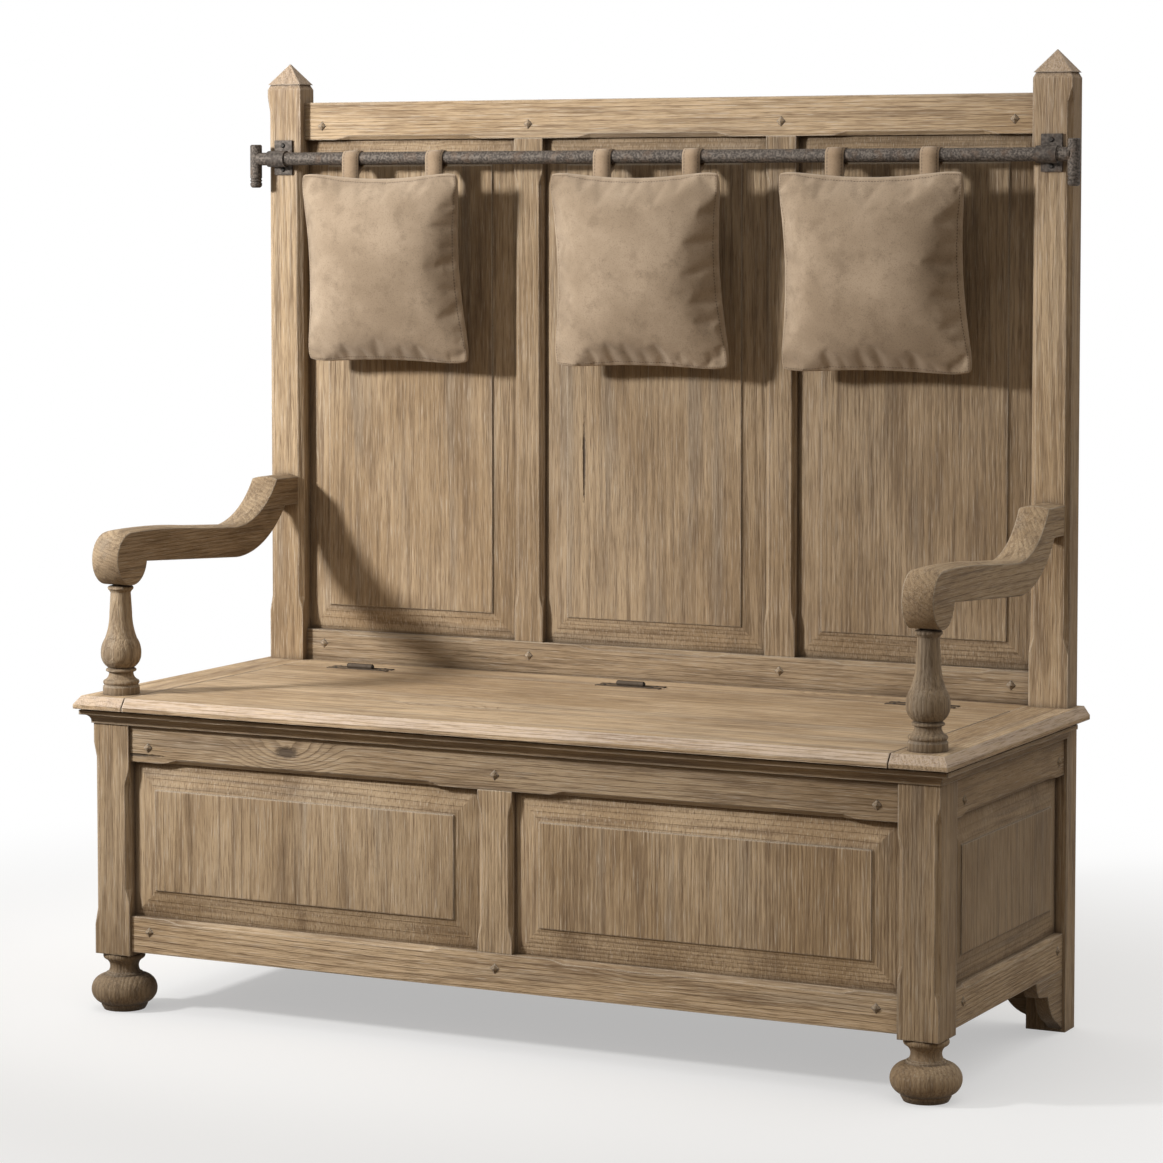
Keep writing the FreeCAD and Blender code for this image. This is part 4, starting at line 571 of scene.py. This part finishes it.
def blow_up(piece, held, spare):
    """Cloth simulation of the filling: pressure from inside, on cloth too large by spare."""
    group = piece.vertex_groups.new(name="held")
    group.add(held.tolist(), 1.0, "REPLACE")
    settings = piece.modifiers.new("filling", "CLOTH").settings
    settings.quality = 6
    settings.mass = 0.25
    settings.air_damping = 3.0
    settings.tension_stiffness = settings.compression_stiffness = 22.0
    settings.shear_stiffness = 8.0
    settings.bending_stiffness = 2.5
    settings.shrink_min = settings.shrink_max = -spare
    settings.use_pressure = True
    settings.uniform_pressure_force = FILLING
    settings.vertex_group_mass = "held"
    settings.effector_weights.gravity = 0.0


def filled(piece):
    """The points of a filled cover, taken from the simulation, and the cover without it."""
    shape = piece.evaluated_get(bpy.context.evaluated_depsgraph_get()).data
    points = np.empty(len(shape.vertices) * 3)
    shape.vertices.foreach_get("co", points)
    piece.modifiers.clear()
    piece.vertex_groups.clear()
    return points.reshape(-1, 3)


covers = {}
for side, spare in CLOTH_SPARE.items():
    points, faces, flat = cover(side)
    piece = add_mesh("pillow_" + side, points, faces, flat)
    covers[side] = piece
    rim = np.flatnonzero(np.abs(points[:, 1]) < RIM * 1.5)
    blow_up(piece, rim, spare)
for moment in range(1, MOMENTS + 1):
    scene.frame_set(moment)
cos, sin = math.cos(CUSHION_LEAN), math.sin(CUSHION_LEAN)
lean = np.array(((1, 0, 0), (0, cos, -sin), (0, sin, cos)))
for side, piece in covers.items():
    points = filled(piece)
    points[:, 1] = np.clip(points[:, 1], -CUSHION_FRONT - SWELL_MOST, CUSHION_BACK + SWELL_MOST)
    points = points @ lean.T + (CUSHION_CENTRES[side], *CUSHION_MIDDLE)
    piece.data.vertices.foreach_set("co", points.ravel())
    piece.data.update()
    smooth = piece.modifiers.new("smooth", "SUBSURF")
    smooth.levels = smooth.render_levels = 1


def suede(name, nap, worn, shaded, seam):
    """Brushed leather: a soft nap in patches, pale where it is rubbed, with short fibres.

    seam gives, from the flat place on the cloth, where thread lies and where the cut edge is.
    """
    hide = Finish("suede " + name, sheen_weight=0.2, sheen_roughness=0.5)
    place = hide.add("TexCoord", {}, output=3)
    cloud = hide.noise(place, 8.0, 4.0, 0.6)
    scuff = hide.noise(place, 30.0, 5.0, 0.65)
    fibre = hide.noise(place, 1500.0, 2.0, 0.6)
    pit = hide.noise(place, 480.0, 2.0, 0.6)
    thread, edge = seam(hide, hide.add("UVMap", {}, uv_map="cloth"))
    tint = hide.mix(hide.between(cloud, 0.35, 0.66), nap, worn)
    tint = hide.mix(hide.between(scuff, 0.48, 0.68) * 0.36, tint, shaded)
    tint = hide.mix(hide.between(pit, 0.50, 0.70) * 0.40, tint, shaded)
    tint = hide.mix(edge * 0.22, tint, EDGE_COLOUR)
    tint = hide.mix(thread * 0.8, tint, THREAD_COLOUR)
    height = 0.3 * scuff + 0.4 * pit + 0.4 * fibre - 1.4 * thread
    return hide.paint(tint, 0.86 + 0.12 * fibre, height, 0.0006)


def stitches(hide, run, off_line):
    """Thread on a line: dashes that repeat by the pitch, as wide as the thread."""
    dash = hide.maths("LESS_THAN", hide.maths("FRACT", run / STITCH_PITCH), STITCH_SHARE)
    return dash * (1.0 - hide.between(hide.maths("ABSOLUTE", off_line), *THREAD))


def pillow_seam(hide, flat):
    """Stitches all round, just inside the rim."""
    across, up, _ = hide.parts(flat)
    across_size, up_size = hide.maths("ABSOLUTE", across), hide.maths("ABSOLUTE", up)
    inset = CUT_SIDE / 2 - hide.maths("MAXIMUM", across_size, up_size)
    side_on = hide.maths("GREATER_THAN", across_size, up_size)
    run = side_on * up + (1.0 - side_on) * across
    edge = 1.0 - hide.between(inset, 0.0010, 0.0030)
    return stitches(hide, run, inset - SEAM_INSET), edge


PILLOW_NAP = (0.285, 0.218, 0.152)
PILLOW_WORN = (0.390, 0.308, 0.226)
PILLOW_SHADED = (0.165, 0.120, 0.078)
SUEDE = suede("cushion", PILLOW_NAP, PILLOW_WORN, PILLOW_SHADED, pillow_seam)
for side, cushion in covers.items():
    cushion.data.materials.append(SUEDE)
    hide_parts("cushion_" + side)
    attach(cushion, "cushion_" + side)


# The straps
# Each pillow hangs by two flat straps of the same suede, stitched along both edges. A strap goes
# up in front of the rod, over it and down behind, and both ends are sewn to the pillow's back.

ROD_AXIS = (0.246, 1.400)
STRAP_SPREAD = 0.082
STRAP_OFFSET = 0.006
STRAP_WIDE = 0.032
STRAP_SEAM_INSET = 0.0035
STRAP_THICK = 0.002
STRAP_TURN = 0.0126
STRAP_LOW = 1.3337
STRAP_JOIN = 1.372


def strap(name, centre):
    """A flat band carried along its path, a line of y and z.

    The path goes up in front, turns round the rod's axis, leaves the turn on a tangent to the
    point where the ends meet, and goes down against the front run. The band's four long edges
    are the path moved half the width to each side and half the thickness out and in.
    """
    y_axis, z_axis = ROD_AXIS
    front = y_axis - STRAP_TURN
    rise = np.stack((np.full(12, front), np.linspace(STRAP_LOW, z_axis, 12)), -1)
    join = np.array((front + STRAP_THICK, STRAP_JOIN))
    gap = join - ROD_AXIS
    leave = math.atan2(gap[1], gap[0]) + math.acos(STRAP_TURN / np.hypot(*gap))
    angle = np.linspace(math.pi, leave, 40)[1:]
    over = np.stack((y_axis + STRAP_TURN * np.cos(angle), z_axis + STRAP_TURN * np.sin(angle)), -1)
    down = over[-1] + (join - over[-1]) * np.linspace(0, 1, 8)[1:, None]
    tail = np.stack((np.full(6, join[0]), np.linspace(STRAP_JOIN, STRAP_LOW, 7)[1:]), -1)
    path = np.concatenate((rise, over, down, tail))
    along = np.gradient(path, axis=0)
    length = np.concatenate(([0], np.cumsum(np.linalg.norm(np.diff(path, axis=0), axis=1))))
    along /= np.linalg.norm(along, axis=1)[:, None]
    lift = np.stack((-along[:, 1], along[:, 0]), -1) * STRAP_THICK / 2
    reach = STRAP_WIDE / 2
    corners = ((-reach, 1), (reach, 1), (reach, -1), (-reach, -1))
    count = len(path)
    edges = [np.column_stack((np.full(count, centre + x), path + out * lift)) for x, out in corners]
    flat = [np.column_stack((np.full(count, x), length)) for x, _ in corners]
    index = np.arange(count * 4).reshape(count, 4)
    after = np.roll(index, -1, axis=1)
    walls = np.stack((index[:-1], index[1:], after[1:], after[:-1]), -1).reshape(-1, 4)
    faces = np.concatenate((walls, index[:1], index[-1:, ::-1]))
    points = np.stack(edges, 1).reshape(-1, 3)
    return add_mesh(name, points, faces, np.stack(flat, 1).reshape(-1, 2))


def strap_seam(hide, flat):
    """Two rows of stitches, one inside each long edge."""
    across, run, _ = hide.parts(flat)
    inset = STRAP_WIDE / 2 - hide.maths("ABSOLUTE", across)
    edge = 1.0 - hide.between(inset, 0.0006, 0.0016)
    return stitches(hide, run, inset - STRAP_SEAM_INSET), edge


STRAP_NAP = (0.270, 0.195, 0.125)
STRAP_WORN = (0.335, 0.250, 0.170)
STRAP_SHADED = (0.180, 0.120, 0.072)
STRAP_SUEDE = suede("strap", STRAP_NAP, STRAP_WORN, STRAP_SHADED, strap_seam)
for side, centre in CUSHION_CENTRES.items():
    for way, sign in (("left", -1), ("right", 1)):
        band = strap(f"band_{side}_{way}", centre + STRAP_OFFSET + sign * STRAP_SPREAD)
        band.data.materials.append(STRAP_SUEDE)
        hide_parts("straps_" + side)
        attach(band, "cushion_" + side)
